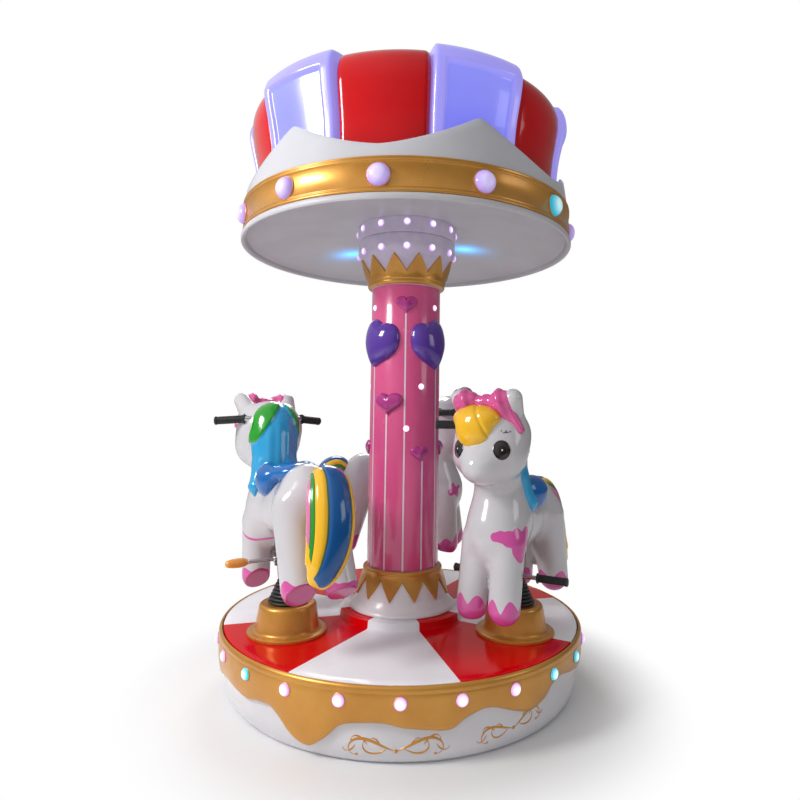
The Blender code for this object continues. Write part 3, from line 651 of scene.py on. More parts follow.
def build_tail(count=90, sides=96):
    """The tail as a thick lock round its own curve, with painted lanes and a groove between lanes."""
    rows = along_line(TAIL_LINE, count)
    spots, radii = rows[:, :3], rows[:, 3]
    ways = np.gradient(spots, axis=0)
    ways /= np.linalg.norm(ways, axis=1)[:, None]
    run = np.concatenate([[0.0], np.cumsum(np.linalg.norm(np.diff(spots, axis=0), axis=1))])
    points, angles, from_tip = [], [], []
    for k in range(count + 1):
        back = np.array([ways[k][2], 0.0, -ways[k][0]])
        back /= np.linalg.norm(back)
        side = np.cross(back, ways[k])
        side *= np.sign(side[1])
        tip = run[-1] - run[k]
        end = min(tip, run[k]) / 0.030
        close = math.sqrt(1.0 - (1.0 - min(end, 1.0)) ** 2)
        for j in range(sides):
            angle = 2 * math.pi * j / sides - math.pi
            edges = TAIL_EDGES[1 if angle > 0 else -1]
            groove = sum(math.exp(-(((abs(angle) - edge) / 0.09) ** 2)) for edge in edges)
            r = radii[k] * max(close, 0.02) * (1.0 - 0.07 * groove * min(1.0, tip / 0.06))
            points.append(spots[k] + back * (r * math.cos(angle)) + side * (r * TAIL_FLAT * math.sin(angle)))
            angles.append(angle)
            from_tip.append(tip)
    faces = []
    for k in range(count):
        for j in range(sides):
            a, b = k * sides + j, k * sides + (j + 1) % sides
            faces.append((a, b, b + sides, a + sides))
    first, last = len(points), len(points) + 1
    points += [spots[0], spots[-1]]
    angles += [0.0, 3.1]
    from_tip += [run[-1], 0.0]
    for j in range(sides):
        faces.append((first, (j + 1) % sides, j))
        faces.append((last, count * sides + j, count * sides + (j + 1) % sides))
    mesh = bpy.data.meshes.new("tail")
    mesh.from_pydata([tuple(p) for p in points], [], faces)
    bm = bmesh.new()
    bm.from_mesh(mesh)
    bmesh.ops.recalc_face_normals(bm, faces=bm.faces)
    if bm.calc_volume(signed=True) < 0:
        bmesh.ops.reverse_faces(bm, faces=bm.faces)
    bm.to_mesh(mesh)
    bm.free()
    angle, tip = np.array(angles), np.array(from_tip)
    past = [
        np.where(angle > 0, angle - left, -angle - right) * 0.06
        for left, right in zip(TAIL_EDGES[1], TAIL_EDGES[-1])
    ]
    mark(mesh, "yellow", np.maximum(past[0], 0.014 - tip))
    taper = (tip - 0.055) * 0.35 - np.abs(past[1])
    mark(mesh, "green", np.minimum(past[1], taper))
    mark(mesh, "pink", np.minimum(past[2], taper))
    # A dark green line painted along each groove between the lanes, as painted shade in the grooves
    groove_shades = [np.minimum(0.0026 - np.abs(past[0]), tip - 0.016)]
    groove_shades += [np.minimum(0.0018 - np.abs(row), taper) for row in past[1:]]
    mark(mesh, "groove_shade", np.maximum.reduce(groove_shades))
    return mesh


def mane_parting(points):
    """Above zero on the green locks: the top of the mane outside the blue fall from its crown."""
    y = points[:, 1]
    z = points[:, 2]
    left = (y + 0.010) - (0.846 - z) * 0.66
    right = (-y - 0.020) - (0.866 - z) * 0.42
    return np.where(y > -0.01, np.minimum(left, z - 0.685), np.minimum(right, z - 0.69))


def build_mane():
    def relief(points):
        parting = mane_parting(points)
        strands = np.cos((points[:, 1] - 0.016) * 150.0 + (points[:, 2] - 0.6) * 9.0)
        lower = np.clip((0.80 - points[:, 2]) / 0.1, 0.0, 1.0)
        return 0.0012 * strands * lower + 0.004 * np.clip(parting / 0.006, -1.0, 1.0)

    mesh = skin(melted(MANE_FORMS), MANE_FORMS, 0.0045, relief=relief)
    mark(mesh, "green", mane_parting(points_of(mesh)))
    return mesh


def build_forelock():
    def relief(points):
        return -0.004 * np.exp(-(((points[:, 1] - 0.012 + (points[:, 2] - 0.80) * 0.5) / 0.006) ** 2))

    return skin(melted(FORELOCK_FORMS), FORELOCK_FORMS, 0.004, relief=relief)


def build_bow():
    def relief(points):
        outer = np.clip(np.abs(points[:, 1]) / 0.03, 0.0, 1.0)
        return 0.0034 * (np.cos(points[:, 1] * 150.0 + points[:, 2] * 40.0) * outer)

    return skin(melted(BOW_FORMS), BOW_FORMS, 0.004, relief=relief)


def build_saddle():
    return skin(melted(SADDLE_FORMS), SADDLE_FORMS, 0.0045)


def decal(centre, normal, up, half_w, half_h, bulge, rings=10, steps=48):
    """A domed oval lying on the pony's skin, with its own round place as two attributes."""
    normal = Vector(normal).normalized()
    side = Vector(up).cross(normal).normalized()
    top = normal.cross(side)
    flat = [(0.0, 0.0)]
    for k in range(1, rings + 1):
        turns = [2 * math.pi * j / steps for j in range(steps)]
        flat += [(k / rings * math.cos(a), k / rings * math.sin(a)) for a in turns]
    flat = np.array(flat + [(0.0, 0.0)])
    points = np.array(centre) + np.outer(flat[:, 0] * half_w, side) + np.outer(flat[:, 1] * half_h, top)
    points += np.array(normal) * 0.05
    for _ in range(30):
        points -= np.outer(pony_distance(points) * 0.8, normal)
    share = (flat**2).sum(axis=1)
    lift = 0.0006 + bulge * (1.0 - share)
    lift[-1 - steps : -1] = -0.003
    lift[-1] = -0.006
    points += np.outer(lift, normal)
    faces = [(0, 1 + j, 1 + (j + 1) % steps) for j in range(steps)]
    for k in range(rings - 1):
        low, high = 1 + k * steps, 1 + (k + 1) * steps
        faces += [(low + j, high + j, high + (j + 1) % steps, low + (j + 1) % steps) for j in range(steps)]
    rim, back = 1 + (rings - 1) * steps, len(points) - 1
    faces += [(back, rim + (j + 1) % steps, rim + j) for j in range(steps)]
    mesh = bpy.data.meshes.new("decal")
    mesh.from_pydata(points.tolist(), [], faces)
    mark(mesh, "u", flat[:, 0])
    mark(mesh, "v", flat[:, 1])
    return mesh


# Each lash as x, y, z, lean, half width and half height, on the pony's left side
LASHES = (
    (0.334, 0.095, 0.768, 0.14, 0.0200, 0.0017),
    (0.344, 0.083, 0.774, 1.7, 0.0062, 0.0015),
    (0.334, 0.095, 0.773, 1.5, 0.0062, 0.0015),
    (0.322, 0.107, 0.772, 1.3, 0.0062, 0.0015),
)


def build_lashes():
    out = []
    for side in (1, -1):
        normal = (0.72, side * 0.68, 0.10)
        for x, y, z, lean, wide, thick in LASHES:
            up = (0.3 * lean, -side * lean, 1.0)
            out.append(decal((x, side * y, z), normal, up, wide, thick, 0.0008, rings=3, steps=16))
    return merged(out)


def build_eyes():
    out = []
    for side in (1, -1):
        normal = (0.80, side * 0.60, 0.06)
        out.append(decal((0.350, side * 0.083, 0.708), normal, (0, 0, 1), 0.033, 0.036, 0.004))
    return merged(out)


def merged(meshes):
    bm = bmesh.new()
    for mesh in meshes:
        bm.from_mesh(mesh)
    out = bpy.data.meshes.new("merged")
    bm.to_mesh(out)
    bm.free()
    return out


def eye_paint(name):
    """A glossy eye in rings: black edge, dark brown iris, black pupil and a white glint in the middle."""
    made, nodes, links, shader = shader_of(name)
    both = nodes.new("ShaderNodeCombineXYZ")
    for axis, socket in (("u", "X"), ("v", "Y")):
        links.new(attribute_of(nodes, axis), both.inputs[socket])
    reach = nodes.new("ShaderNodeVectorMath")
    reach.operation = "LENGTH"
    links.new(both.outputs["Vector"], reach.inputs[0])
    rings = nodes.new("ShaderNodeValToRGB")
    glint, pupil = (0.85, 0.85, 0.88), (0.003,) * 3
    stops = (
        (0.0, glint), (0.075, glint), (0.10, pupil), (0.42, pupil),
        (0.47, (0.030, 0.014, 0.012)), (0.72, (0.022, 0.010, 0.009)), (0.79, (0.002,) * 3),
    )
    while len(rings.color_ramp.elements) < len(stops):
        rings.color_ramp.elements.new(0.5)
    for stop, (place, colour) in zip(rings.color_ramp.elements, stops):
        stop.position = place
        stop.color = (*colour, 1.0)
    links.new(reach.outputs["Value"], rings.inputs["Fac"])
    links.new(rings.outputs["Color"], shader.inputs["Base Color"])
    shader.inputs["Roughness"].default_value = 0.12
    shader.inputs["Coat Weight"].default_value = 0.7
    return made


def pony_place(name):
    """The matrix from the pony's own frame to the row frame, with its rest pose's lift and rock."""
    azimuth, lift, rock = PONIES[name]
    turn = math.radians(azimuth)
    heading = Vector((-math.cos(turn), -math.sin(turn), 0))
    outward = Vector((math.sin(turn), -math.cos(turn), 0))
    frame_of = Matrix((heading, outward, (0, 0, 1))).transposed().to_4x4()
    spot = Matrix.Translation(on_circle(azimuth, RIDE_R, DECK + lift)) @ frame_of
    pivot = Matrix.Translation((0, 0, PIVOT_Z))
    return spot @ pivot @ Matrix.Rotation(math.radians(rock), 4, "Y") @ pivot.inverted()


def pony_piece(kind, mesh, name, paint, nodes=()):
    copy = mesh.copy()
    copy.transform(pony_place(name))
    return piece("pony_%s_%s_shell" % (name, kind), copy, "pony_" + name, paint, nodes)


def make_ponies():
    # The soles take a darker mauve than the hooves: painted shade on the faces that turn down
    feet = [("hoof", HOOF_PINK), ("sole", srgb(188, 66, 126))]
    coats = {
        "1": gelcoat("pony_white_1", PONY_WHITE, feet + [("patch", HOOF_PINK)]),
        "2": gelcoat("pony_white_2", PONY_WHITE, feet + [("crease", HOOF_PINK)]),
        "3": gelcoat("pony_white_3", PONY_WHITE, feet + [("patch_right", HOOF_PINK)]),
    }
    hair = gelcoat("mane_blue", SKY, [("green", GREEN)])
    # The last lane colour is painted shade along the grooves between the lanes
    lanes = [("yellow", YELLOW), ("green", GREEN), ("pink", srgb(226, 120, 170)), ("groove_shade", srgb(30, 84, 60))]
    eyes, black = build_eyes(), eye_paint("eye_black")
    lashes, ink = build_lashes(), rubber("lash_black")
    steel = metal("bar_steel", (0.56, 0.54, 0.55), 0.2)
    grip = rubber("grip_rubber")
    orange = gelcoat("peg_orange", srgb(232, 150, 62))
    body = build_pony_body()
    shells = (
        ("mane", build_mane(), "pony_blue", hair),
        ("tail", build_tail(), "pony_blue", gelcoat("tail_blue", DEEP_BLUE, lanes)),
        ("saddle", build_saddle(), "pony_blue", gelcoat("saddle_blue", SEAT_BLUE)),
        ("forelock", build_forelock(), "pony_yellow", gelcoat("forelock_yellow", YELLOW)),
        ("bow", build_bow(), "pony_pink", gelcoat("bow_pink", BOW_PINK)),
    )
    for name in PONIES:
        for kind, mesh, slot, paint in (("body", body, "pony_white", coats[name]), *shells):
            pony_piece(kind, mesh, name, paint, ["pony_%s_%s" % (name, kind)])
        pony_piece("eyes", eyes, name, black)
        pony_piece("lashes", lashes, name, ink)
        make_bars(name, steel, grip)
        make_footrest(name, steel, grip, orange)


# Base, column and canopy in the row frame


def evenly_round(name, mesh, paint, count, radius, z, phase=0.0):
    """Copies of a mesh that faces -Y from the origin, set evenly round the upright axis by Geometry Nodes."""
    tree = bpy.data.node_groups.new(name, "GeometryNodeTree")
    tree.interface.new_socket("Mesh", in_out="INPUT", socket_type="NodeSocketGeometry")
    values = {
        "Count": ("NodeSocketInt", count),
        "Ring Radius": ("NodeSocketFloat", radius),
        "Height": ("NodeSocketFloat", z),
        "First Turn": ("NodeSocketFloat", math.radians(phase)),
        "Paint": ("NodeSocketMaterial", paint),
    }
    for label, (kind, _) in values.items():
        tree.interface.new_socket(label, in_out="INPUT", socket_type=kind)
    tree.interface.new_socket("Mesh", in_out="OUTPUT", socket_type="NodeSocketGeometry")
    given = tree.nodes.new("NodeGroupInput").outputs
    joins = tree.links

    def step(kind, operation, *inputs):
        made = tree.nodes.new(kind)
        if operation:
            made.operation = operation
        for k, value in enumerate(inputs):
            if isinstance(value, bpy.types.NodeSocket):
                joins.new(value, made.inputs[k])
            elif value is not None:
                made.inputs[k].default_value = value
        return made.outputs[0]

    index = tree.nodes.new("GeometryNodeInputIndex").outputs[0]
    share = step("ShaderNodeMath", "DIVIDE", index, given["Count"])
    turn = step("ShaderNodeMath", "MULTIPLY_ADD", share, 2 * math.pi, given["First Turn"])
    x = step("ShaderNodeMath", "MULTIPLY", step("ShaderNodeMath", "SINE", turn), given["Ring Radius"])
    cosine = step("ShaderNodeMath", "COSINE", turn)
    ahead = step("ShaderNodeMath", "MULTIPLY", cosine, -1.0)
    y = step("ShaderNodeMath", "MULTIPLY", ahead, given["Ring Radius"])
    place = step("ShaderNodeCombineXYZ", None, x, y, given["Height"])
    points = step("GeometryNodePoints", None, given["Count"], place)
    turned_by = step("ShaderNodeCombineXYZ", None, 0.0, 0.0, turn)
    copies = tree.nodes.new("GeometryNodeInstanceOnPoints")
    joins.new(points, copies.inputs["Points"])
    joins.new(given["Mesh"], copies.inputs["Instance"])
    joins.new(turned_by, copies.inputs["Rotation"])
    real = step("GeometryNodeRealizeInstances", None, copies.outputs[0])
    painted = tree.nodes.new("GeometryNodeSetMaterial")
    joins.new(real, painted.inputs["Geometry"])
    joins.new(given["Paint"], painted.inputs["Material"])
    joins.new(painted.outputs[0], tree.nodes.new("NodeGroupOutput").inputs["Mesh"])
    working = bpy.data.objects.new(name, mesh)
    bpy.context.scene.collection.objects.link(working)
    repeat = working.modifiers.new("round", "NODES")
    repeat.node_group = tree
    for item in tree.interface.items_tree:
        if item.in_out == "INPUT" and item.name in values:
            repeat[item.identifier] = values[item.name][1]
    bpy.context.view_layer.update()
    graph = bpy.context.evaluated_depsgraph_get()
    made = bpy.data.meshes.new_from_object(working.evaluated_get(graph), depsgraph=graph)
    bpy.data.objects.remove(working)
    made.materials.clear()
    return made


def knob(profile, steps=28):
    """A round knob that faces -Y, from its (radius, height) profile, which ends on its own axis."""
    bm = bmesh.new()
    turns = [2 * math.pi * j / steps for j in range(steps)]
    rows = []
    for r, h in profile:
        if r < 1e-6:
            rows.append([bm.verts.new((0.0, -h, 0.0))])
        else:
            rows.append([bm.verts.new((r * math.cos(a), -h, r * math.sin(a))) for a in turns])
    join_rows(bm, rows, steps)
    return closed(bm)


def bulb(radius, height, sink, steps=28, rows=8):
    """A flattened dome with a straight foot that reaches sink into what carries it.

    Its core attribute falls from 1 in its middle to 0 at its edge."""
    arc = [(radius * math.cos(t), height * math.sin(t)) for t in np.linspace(0.0, math.pi / 2, rows)]
    profile = [(0.0, -sink), (radius, -sink)] + [(max(r, 0.0), h) for r, h in arc[:-1]] + [(0.0, height)]
    mesh = knob(profile, steps)
    points = points_of(mesh)
    mark(mesh, "core", 1.0 - np.hypot(points[:, 0], points[:, 2]) / radius)
    return mesh


def collar(inner, outer, height, sink, steps=28):
    """A rounded flat ring that faces -Y, with a sunk floor inside it."""
    profile = [(0.0, -sink), (outer, -sink), (outer, height * 0.6), (outer - 0.0012, height)]
    profile += [(inner + 0.001, height), (inner, height * 0.5), (0.0, height * 0.5)]
    return knob(profile, steps)


def boss(outline, azimuth, radius, z, height, tilt=0.0, rings=12, power=2.0, ripple=None):
    """A cushion whose (across, up) outline lies on an upright cylinder, domed outwards by height."""
    cosine, sine = math.cos(math.radians(tilt)), math.sin(math.radians(tilt))
    shape = np.array(outline) @ np.array([[cosine, sine], [-sine, cosine]])
    bm = bmesh.new()

    def at(across, up, lift):
        return bm.verts.new(on_circle(azimuth + math.degrees(across / radius), radius + lift, z + up))

    rows = [[at(0.0, 0.0, height + (ripple((0.0, 0.0)) if ripple else 0.0))]]
    for k in range(1, rings + 1):
        share = math.sin(math.pi / 2 * k / rings)
        lift = height * (1.0 - share**power) ** 0.5
        row = []
        for place in shape:
            more = ripple(place * share) * (1.0 - share**6) if ripple else 0.0
            row.append(at(*(place * share), lift + more))
        rows.append(row)
    rows.append([at(*(place * 0.98), -0.004) for place in shape])
    rows.append([at(0.0, 0.0, -0.006)])
    join_rows(bm, rows, len(shape))
    return closed(bm)


def heart(width, height, plump=0.0, count=72):
    """A heart outline round its own middle, as (across, up) points. Plump fills its notch and sides."""
    out = []
    for k in range(count):
        t = 2 * math.pi * k / count
        side = math.sin(t)
        across = math.copysign(abs(side) ** (3.0 - 1.4 * plump), side)
        up = 13 * math.cos(t) - (4 - 2.5 * plump) * math.cos(2 * t)
        up -= (1.8 - 0.9 * plump) * math.cos(3 * t) + 0.8 * math.cos(4 * t)
        out.append((across * width / 2, (up / 30.0 + 0.06) * height))
    return out


def smooth_loop(points, azimuth):
    """The value at an azimuth on a smooth closed curve through (azimuth, value) points in order."""
    count = len(points)
    azimuth = (azimuth - points[0][0]) % 360.0 + points[0][0]
    i = max(k for k in range(count) if points[k][0] <= azimuth)

    def point(k):
        return points[k % count][0] + 360.0 * (k // count), points[k % count][1]

    (x0, a), (x1, b), (x2, c), (x3, d) = point(i - 1), point(i), point(i + 1), point(i + 2)
    t = (azimuth - x1) / (x2 - x1)
    m1 = (c - a) / (x2 - x0) * (x2 - x1)
    m2 = (d - b) / (x3 - x1) * (x2 - x1)
    near = (2 * t**3 - 3 * t**2 + 1) * b + (t**3 - 2 * t**2 + t) * m1
    return near + (3 * t**2 - 2 * t**3) * c + (t**3 - t**2) * m2


# The lower edge of the rim all round, as (azimuth, height)
DRIPS = [
    (-75, 0.108), (-69, 0.104), (-59, 0.121), (-51, 0.116), (-46, 0.112), (-40, 0.125),
    (-35.5, 0.124), (-32, 0.098), (-29.5, 0.071), (-26.5, 0.046), (-23.5, 0.039), (-20.8, 0.058),
    (-18, 0.085), (-15.5, 0.114), (-12.5, 0.128), (-4, 0.134), (0, 0.123), (4, 0.117),
    (11, 0.109), (13.5, 0.114), (16, 0.135), (19, 0.149), (21.5, 0.156), (24.5, 0.152),
    (28, 0.137), (33, 0.116), (36.5, 0.109), (39.5, 0.116), (42.5, 0.131), (45.5, 0.157),
    (51, 0.167), (58, 0.150), (66, 0.130), (80, 0.112), (95, 0.140), (105, 0.122),
    (117, 0.080), (125, 0.052), (133, 0.078), (145, 0.128), (160, 0.136), (175, 0.115),
    (188, 0.119), (200, 0.150), (215, 0.126), (228, 0.092), (238, 0.060), (248, 0.092),
    (262, 0.132), (275, 0.120),
]


def tub_radius(z):
    """Radius of the tub's bulging side at height z."""
    return 0.7105 - 0.0285 * max(0.0, (0.075 - z) / 0.075) ** 2


def skirt(azimuth):
    """The rim's section at an azimuth: its rounded top, its wall and its lip against the tub."""
    low = smooth_loop(DRIPS, azimuth)
    inner = tub_radius(low) + 0.0004
    rows = [(0.7235, 0.2440), (0.7238, 0.2470), (0.7250, 0.2478), (0.7275, 0.2470), (0.7312, 0.2438)]
    rows += [(0.7340, 0.2390), (0.7350, 0.2335), (0.7350, 0.2280), (0.7342, 0.2265), (0.7342, 0.2240)]
    rows.append((0.7350, 0.2225))
    for share in (0.25, 0.5, 0.75):
        z = 0.2225 + (low + 0.016 - 0.2225) * share
        rows.append((0.7350 - 0.0035 * share**2, z))
    lip = inner + 0.0110
    rows += [(lip + 0.0065, low + 0.014), (lip + 0.0045, low + 0.006), (lip, low + 0.0015)]
    rows += [(inner + 0.004, low), (inner, low + 0.001), (0.7112, 0.2056), (0.6905, 0.2056)]
    rows += [(0.6905, 0.2094), (0.7235, 0.2094)]
    return rows


def make_base():
    white = gelcoat("base_white", WHITE, rough=0.22)
    side = [(tub_radius(z), z) for z in np.linspace(0.006, 0.200, 26)]
    profile = [(0.0, 0.001), (0.672, 0.001)] + side + [(0.700, 0.2045), (0.0, 0.2045)]
    piece("tub", turned(profile, 192), "base", white, ["base_tub"])

    gold = gold_paint("base_gold")
    rim = ring([(0.75 * k, skirt(0.75 * k)) for k in range(480)])
    piece("rim", rim, "base", gold, ["base_rim"], sharp=50.0)
    bezel = collar(0.0196, 0.0228, 0.0026, 0.004)
    bezels = evenly_round("rim_bezels", bezel, gold, RIM_BULBS, 0.7342, RIM_BULB_Z)
    piece("rim_bezels", bezels, "base", gold)
    lamp = bulb(RIM_BULB_R, 0.0125, 0.003)
    bulbs = evenly_round("rim_bulbs", lamp, gold, RIM_BULBS, 0.7352, RIM_BULB_Z)
    index = np.round(azimuth_of(points_of(bulbs)) * RIM_BULBS / 360.0) % RIM_BULBS
    mark(bulbs, "cyan", np.isin(index, CYAN_BULBS) * 2.0 - 1.0)
    paint = lamp_paint("rim_lamp", srgb(205, 150, 235), srgb(250, 236, 255), 0.80, cyan=True)
    piece("rim_bulbs", bulbs, "base", paint)
    bearing = rounded([(0.200, 0.2147), (0.200, 0.2053), (0.150, 0.2053), (0.150, 0.2147)], 0.0015)
    steel = metal("bearing_steel", (0.45,) * 3, 0.35)
    piece("bearing", turned(bearing, 96), "base", steel, ["slew_bearing"])
    make_flourish()


def tendril(start, heading, length, first_curve, last_curve, width):
    """A curl on the flat, as (across, up, half width) points: it bends ever more tightly towards its end."""
    steps = 60
    x, y = start
    turn = math.radians(heading)
    out = []
    for k in range(steps + 1):
        share = k / steps
        body = math.sin(math.pi * min(1.0, share * 1.15 + 0.02)) ** 0.7 if share < 0.85 else 0.0
        bead = math.exp(-(((share - 0.985) / 0.03) ** 2)) * 1.1
        out.append((x, y, width * max(0.22, body, bead)))
        turn += (first_curve + (last_curve - first_curve) * share**2.2) * length / steps
        x += math.cos(turn) * length / steps
        y += math.sin(turn) * length / steps
    return out


def raised_line(line, azimuth, z, tilt, sides=8):
    """A flat round-backed strand on the tub's side along (across, up, half width) points."""
    turn = math.radians(tilt)
    bm = bmesh.new()
    loops = []
    for k, (u, v, half) in enumerate(line):
        ahead, behind = line[min(k + 1, len(line) - 1)], line[max(k - 1, 0)]
        way = Vector((ahead[0] - behind[0], ahead[1] - behind[1])).normalized()
        loop = []
        for j in range(sides):
            a = 2 * math.pi * j / sides
            off, lift = half * math.cos(a), 0.0013 * math.sin(a)
            x, y = u - way.y * off, v + way.x * off
            across = x * math.cos(turn) - y * math.sin(turn)
            up = z + x * math.sin(turn) + y * math.cos(turn)
            way_round = azimuth + math.degrees(across / TUB_R)
            loop.append(bm.verts.new(on_circle(way_round, tub_radius(up) + lift, up)))
        loops.append(loop)
    join_rows(bm, loops, sides)
    bm.faces.new(loops[0])
    bm.faces.new(loops[-1])
    return closed(bm)


# Each curl's start, heading, length, first and last curve, and half width
CURLS = (
    ((0.000, 0.000), 20, 0.150, 3.0, -95.0, 0.0034),
    ((0.018, 0.004), -38, 0.085, 16.0, 120.0, 0.0026),
    ((0.060, 0.013), 52, 0.050, -10.0, -150.0, 0.0022),
    ((0.088, 0.012), -60, 0.040, 18.0, 170.0, 0.0019),
    ((0.030, 0.009), 70, 0.036, -20.0, -170.0, 0.0018),
)


def make_flourish():
    """Two sprays of gold scrollwork on the tub's front, each of curls that mirror each other."""
    strands = []
    for azimuth, z, tilt, size in ((-1.0, 0.050, 1.0, 1.38), (31.0, 0.070, 7.0, 1.15)):
        for mirror in (1, -1):
            for start, heading, length, first, last, width in CURLS:
                line = tendril(start, heading, length, first, last, width)
                line = [(mirror * (0.004 + x * size), y * size, w * size) for x, y, w in line]
                strands.append(raised_line(line, azimuth, z, tilt))
        turns = np.linspace(0, 2 * math.pi, 24, endpoint=False)
        bead = [(0.006 * math.cos(a), 0.006 * math.sin(a)) for a in turns]
        strands.append(boss(bead, azimuth, 0.709, z, 0.004, rings=6))
    piece("flourish", merged(strands), "base", gold_paint("flourish_gold"))


def sector_value(points):
    """Distance along the arc from the nearest sector boundary, above zero in the red sectors."""
    place = (azimuth_of(points) - 15.0) % 90.0
    edge = np.minimum(place, 45.0 - place)
    edge = np.where(place > 45.0, -np.minimum(place - 45.0, 90.0 - place), edge)
    return np.radians(edge) * np.hypot(points[:, 0], points[:, 1])


def make_deck():
    outline = [(0.0, 0.2155), (0.715, 0.2155), (0.7178, 0.218), (0.7178, 0.2440), (0.7170, 0.2460)]
    outline += [(r, 0.2468) for r in (0.7150, 0.68, 0.60, 0.50, 0.40, 0.31, 0.268)]
    outline += [(0.264, 0.2480), (0.2622, 0.2515), (0.2605, 0.2700), (0.2590, 0.2745), (0.2550, 0.2766)]
    outline += [(0.235, 0.2768), (0.0, 0.2768)]
    mesh = turned(outline, 240)
    mark(mesh, "red", sector_value(points_of(mesh)))
    paint = gelcoat("deck_paint", srgb(250, 250, 255), [("red", srgb(218, 4, 20))], rough=0.14, coat=0.03)
    paint.node_tree.nodes["Principled BSDF"].inputs["Specular IOR Level"].default_value = 0.16
    piece("deck", mesh, "turntable", paint, ["turntable_deck"])


def make_pedestals():
    gold = gold_paint("pedestal_gold")
    outline = [(0.0195, 0.1095), (0.0195, 0.0004), (0.1485, 0.0004), (0.1498, 0.0050), (0.1490, 0.0095)]
    outline += [(0.1465, 0.0115), (0.1340, 0.0120), (0.1255, 0.0135), (0.1205, 0.0175), (0.1182, 0.0250)]
    outline += [(0.1165, 0.0400), (0.1120, 0.0700), (0.1080, 0.0950), (0.1066, 0.1010), (0.1035, 0.1062)]
    outline += [(0.0985, 0.1092), (0.0900, 0.1097), (0.0845, 0.1080), (0.0800, 0.1075)]
    mesh = turned(outline, 96)
    steel = metal("post_steel", (0.55,) * 3, 0.22)
    black = rubber("bellows_rubber")
    for name, (azimuth, lift, _) in PONIES.items():
        copy = mesh.copy()
        copy.transform(Matrix.Translation(on_circle(azimuth, RIDE_R, DECK)))
        piece("pedestal_%s_cover" % name, copy, "turntable", gold, ["pedestal_" + name])
        post = turned(rounded([(0.0, 0.015), (0.0185, 0.015), (0.0185, 0.249), (0.0, 0.249)], 0.002), 32)
        post.transform(Matrix.Translation(on_circle(azimuth, RIDE_R, DECK + lift)))
        piece("post_%s_tube" % name, post, "lift_" + name, steel, ["post_" + name])
        make_bellows(name, azimuth, black)


def make_bellows(name, azimuth, paint, folds=7):
    """Rubber rings that narrow upwards, between the pedestal and the rising post."""
    low, high = 0.1105, 0.1955
    outer = []
    for k in range(folds * 8 + 1):
        share = k / (folds * 8)
        wave = abs(math.sin(math.pi * folds * share)) ** 0.6
        outer.append((0.078 + (0.041 - 0.078) * share - 0.010 * (1.0 - wave), low + (high - low) * share))
    inner = [(0.0245, high), (0.0245, low)]
    mesh = turned(outer + inner, 48)
    mesh.transform(Matrix.Translation(on_circle(azimuth, RIDE_R, DECK)))
    smooth_mesh(mesh, 60.0)
    made = bpy.data.objects.new("bellows_%s_rings" % name, mesh)
    bpy.context.scene.collection.objects.link(made)
    mesh.materials.append(paint)
    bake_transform(made)
    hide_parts("bellows_" + name)


def saw(azimuth, first, pitch):
    """0 at first and at every pitch from it, rising evenly to 1 half way between."""
    return 1.0 - abs(1.0 - ((azimuth - first) % pitch) / (pitch / 2))


def foot_skin(z):
    """Radius of the foot's upper cone at height z."""
    return 0.190 - 0.038 * (z - 0.330) / (0.4417 - 0.330)


def bowl_skin(z):
    """Radius of the bowl's cone at height z."""
    return 0.153 + 0.045 * (z - 1.616) / (1.745 - 1.616)


# The gold rings' beads on the column, as (height, how far outside the cone)
FOOT_BEADS = (
    (0.4415, 0.0080), (0.4390, 0.0112), (0.4340, 0.0126),
    (0.4290, 0.0114), (0.4255, 0.0086), (0.4235, 0.0070),
)
CAPITAL_BEADS = (
    (1.6185, 0.0070), (1.6215, 0.0105), (1.6270, 0.0122), (1.6325, 0.0105),
    (1.6360, 0.0078), (1.6400, 0.0092), (1.6440, 0.0094), (1.6475, 0.0072),
)


def pointed_rows(skin_at, beads, tip, back):
    """A gold ring's section: its beads, its wall and its thin rolled edge at the height tip.

    back is 1 where the points hang down and -1 where they stand up."""
    first, last = beads[0][0], beads[-1][0]
    rows = [(skin_at(first) + 0.0006, first)]
    rows += [(skin_at(z) + out, z) for z, out in beads]
    for share in (0.3, 0.7):
        z = last + (tip + back * 0.006 - last) * share
        rows.append((skin_at(z) + 0.0075, z))
    for out, away in ((0.0070, 0.006), (0.0058, 0.003), (0.0030, 0.0004), (0.0006, 0.0)):
        rows.append((skin_at(tip) + out, tip + back * away))
    return rows


# The height of each white stripe's top, by azimuth
STRIPE_TOPS = {0: 1.492, -30: 1.072, 30: 0.882, -60: 1.272, 60: 1.262, -90: 0.902}
# Each heart's kind, azimuth, height on the shaft, width, height, bulge and tilt
HEARTS = [
    ("small", 1.0, 1.531, 0.094, 0.080, 0.016, 0.0),
    ("large", -48.5, 1.366, 0.194, 0.236, 0.040, -17.0),
    ("large", 46.5, 1.362, 0.190, 0.246, 0.040, 15.0),
    ("small", -27.0, 1.116, 0.128, 0.104, 0.024, 0.0),
    ("small", 25.0, 0.911, 0.080, 0.072, 0.015, 0.0),
    ("small", -90.0, 0.932, 0.082, 0.074, 0.016, 0.0),
]
SHAFT_LAMPS = [(-62.0, 1.527), (55.0, 1.528), (27.0, 1.188), (3.0, 1.014), (-90.0, 1.190)]


def make_stripes():
    stripes = []
    for turn in (0, 180):
        for azimuth, top in STRIPE_TOPS.items():
            profile = [(0.1492, 0.4425), (0.1507, 0.4425), (0.1507, top), (0.1492, top)]
            sections = [(azimuth + turn + 1.25 * k, profile) for k in (-1, -0.8, -0.4, 0, 0.4, 0.8, 1)]
            stripes.append(ring(sections, whole=False))
    paint = gelcoat("stripe_white", srgb(238, 222, 232))
    piece("shaft_stripes", merged(stripes), "turntable", paint)


def folds_over(width):
    """Shallow folds over a small heart of that width."""

    def lift(place):
        return 0.0022 * math.cos(place[0] / width * 14.0) * math.sin(1.2 + place[1] / width * 6.0)

    return lift


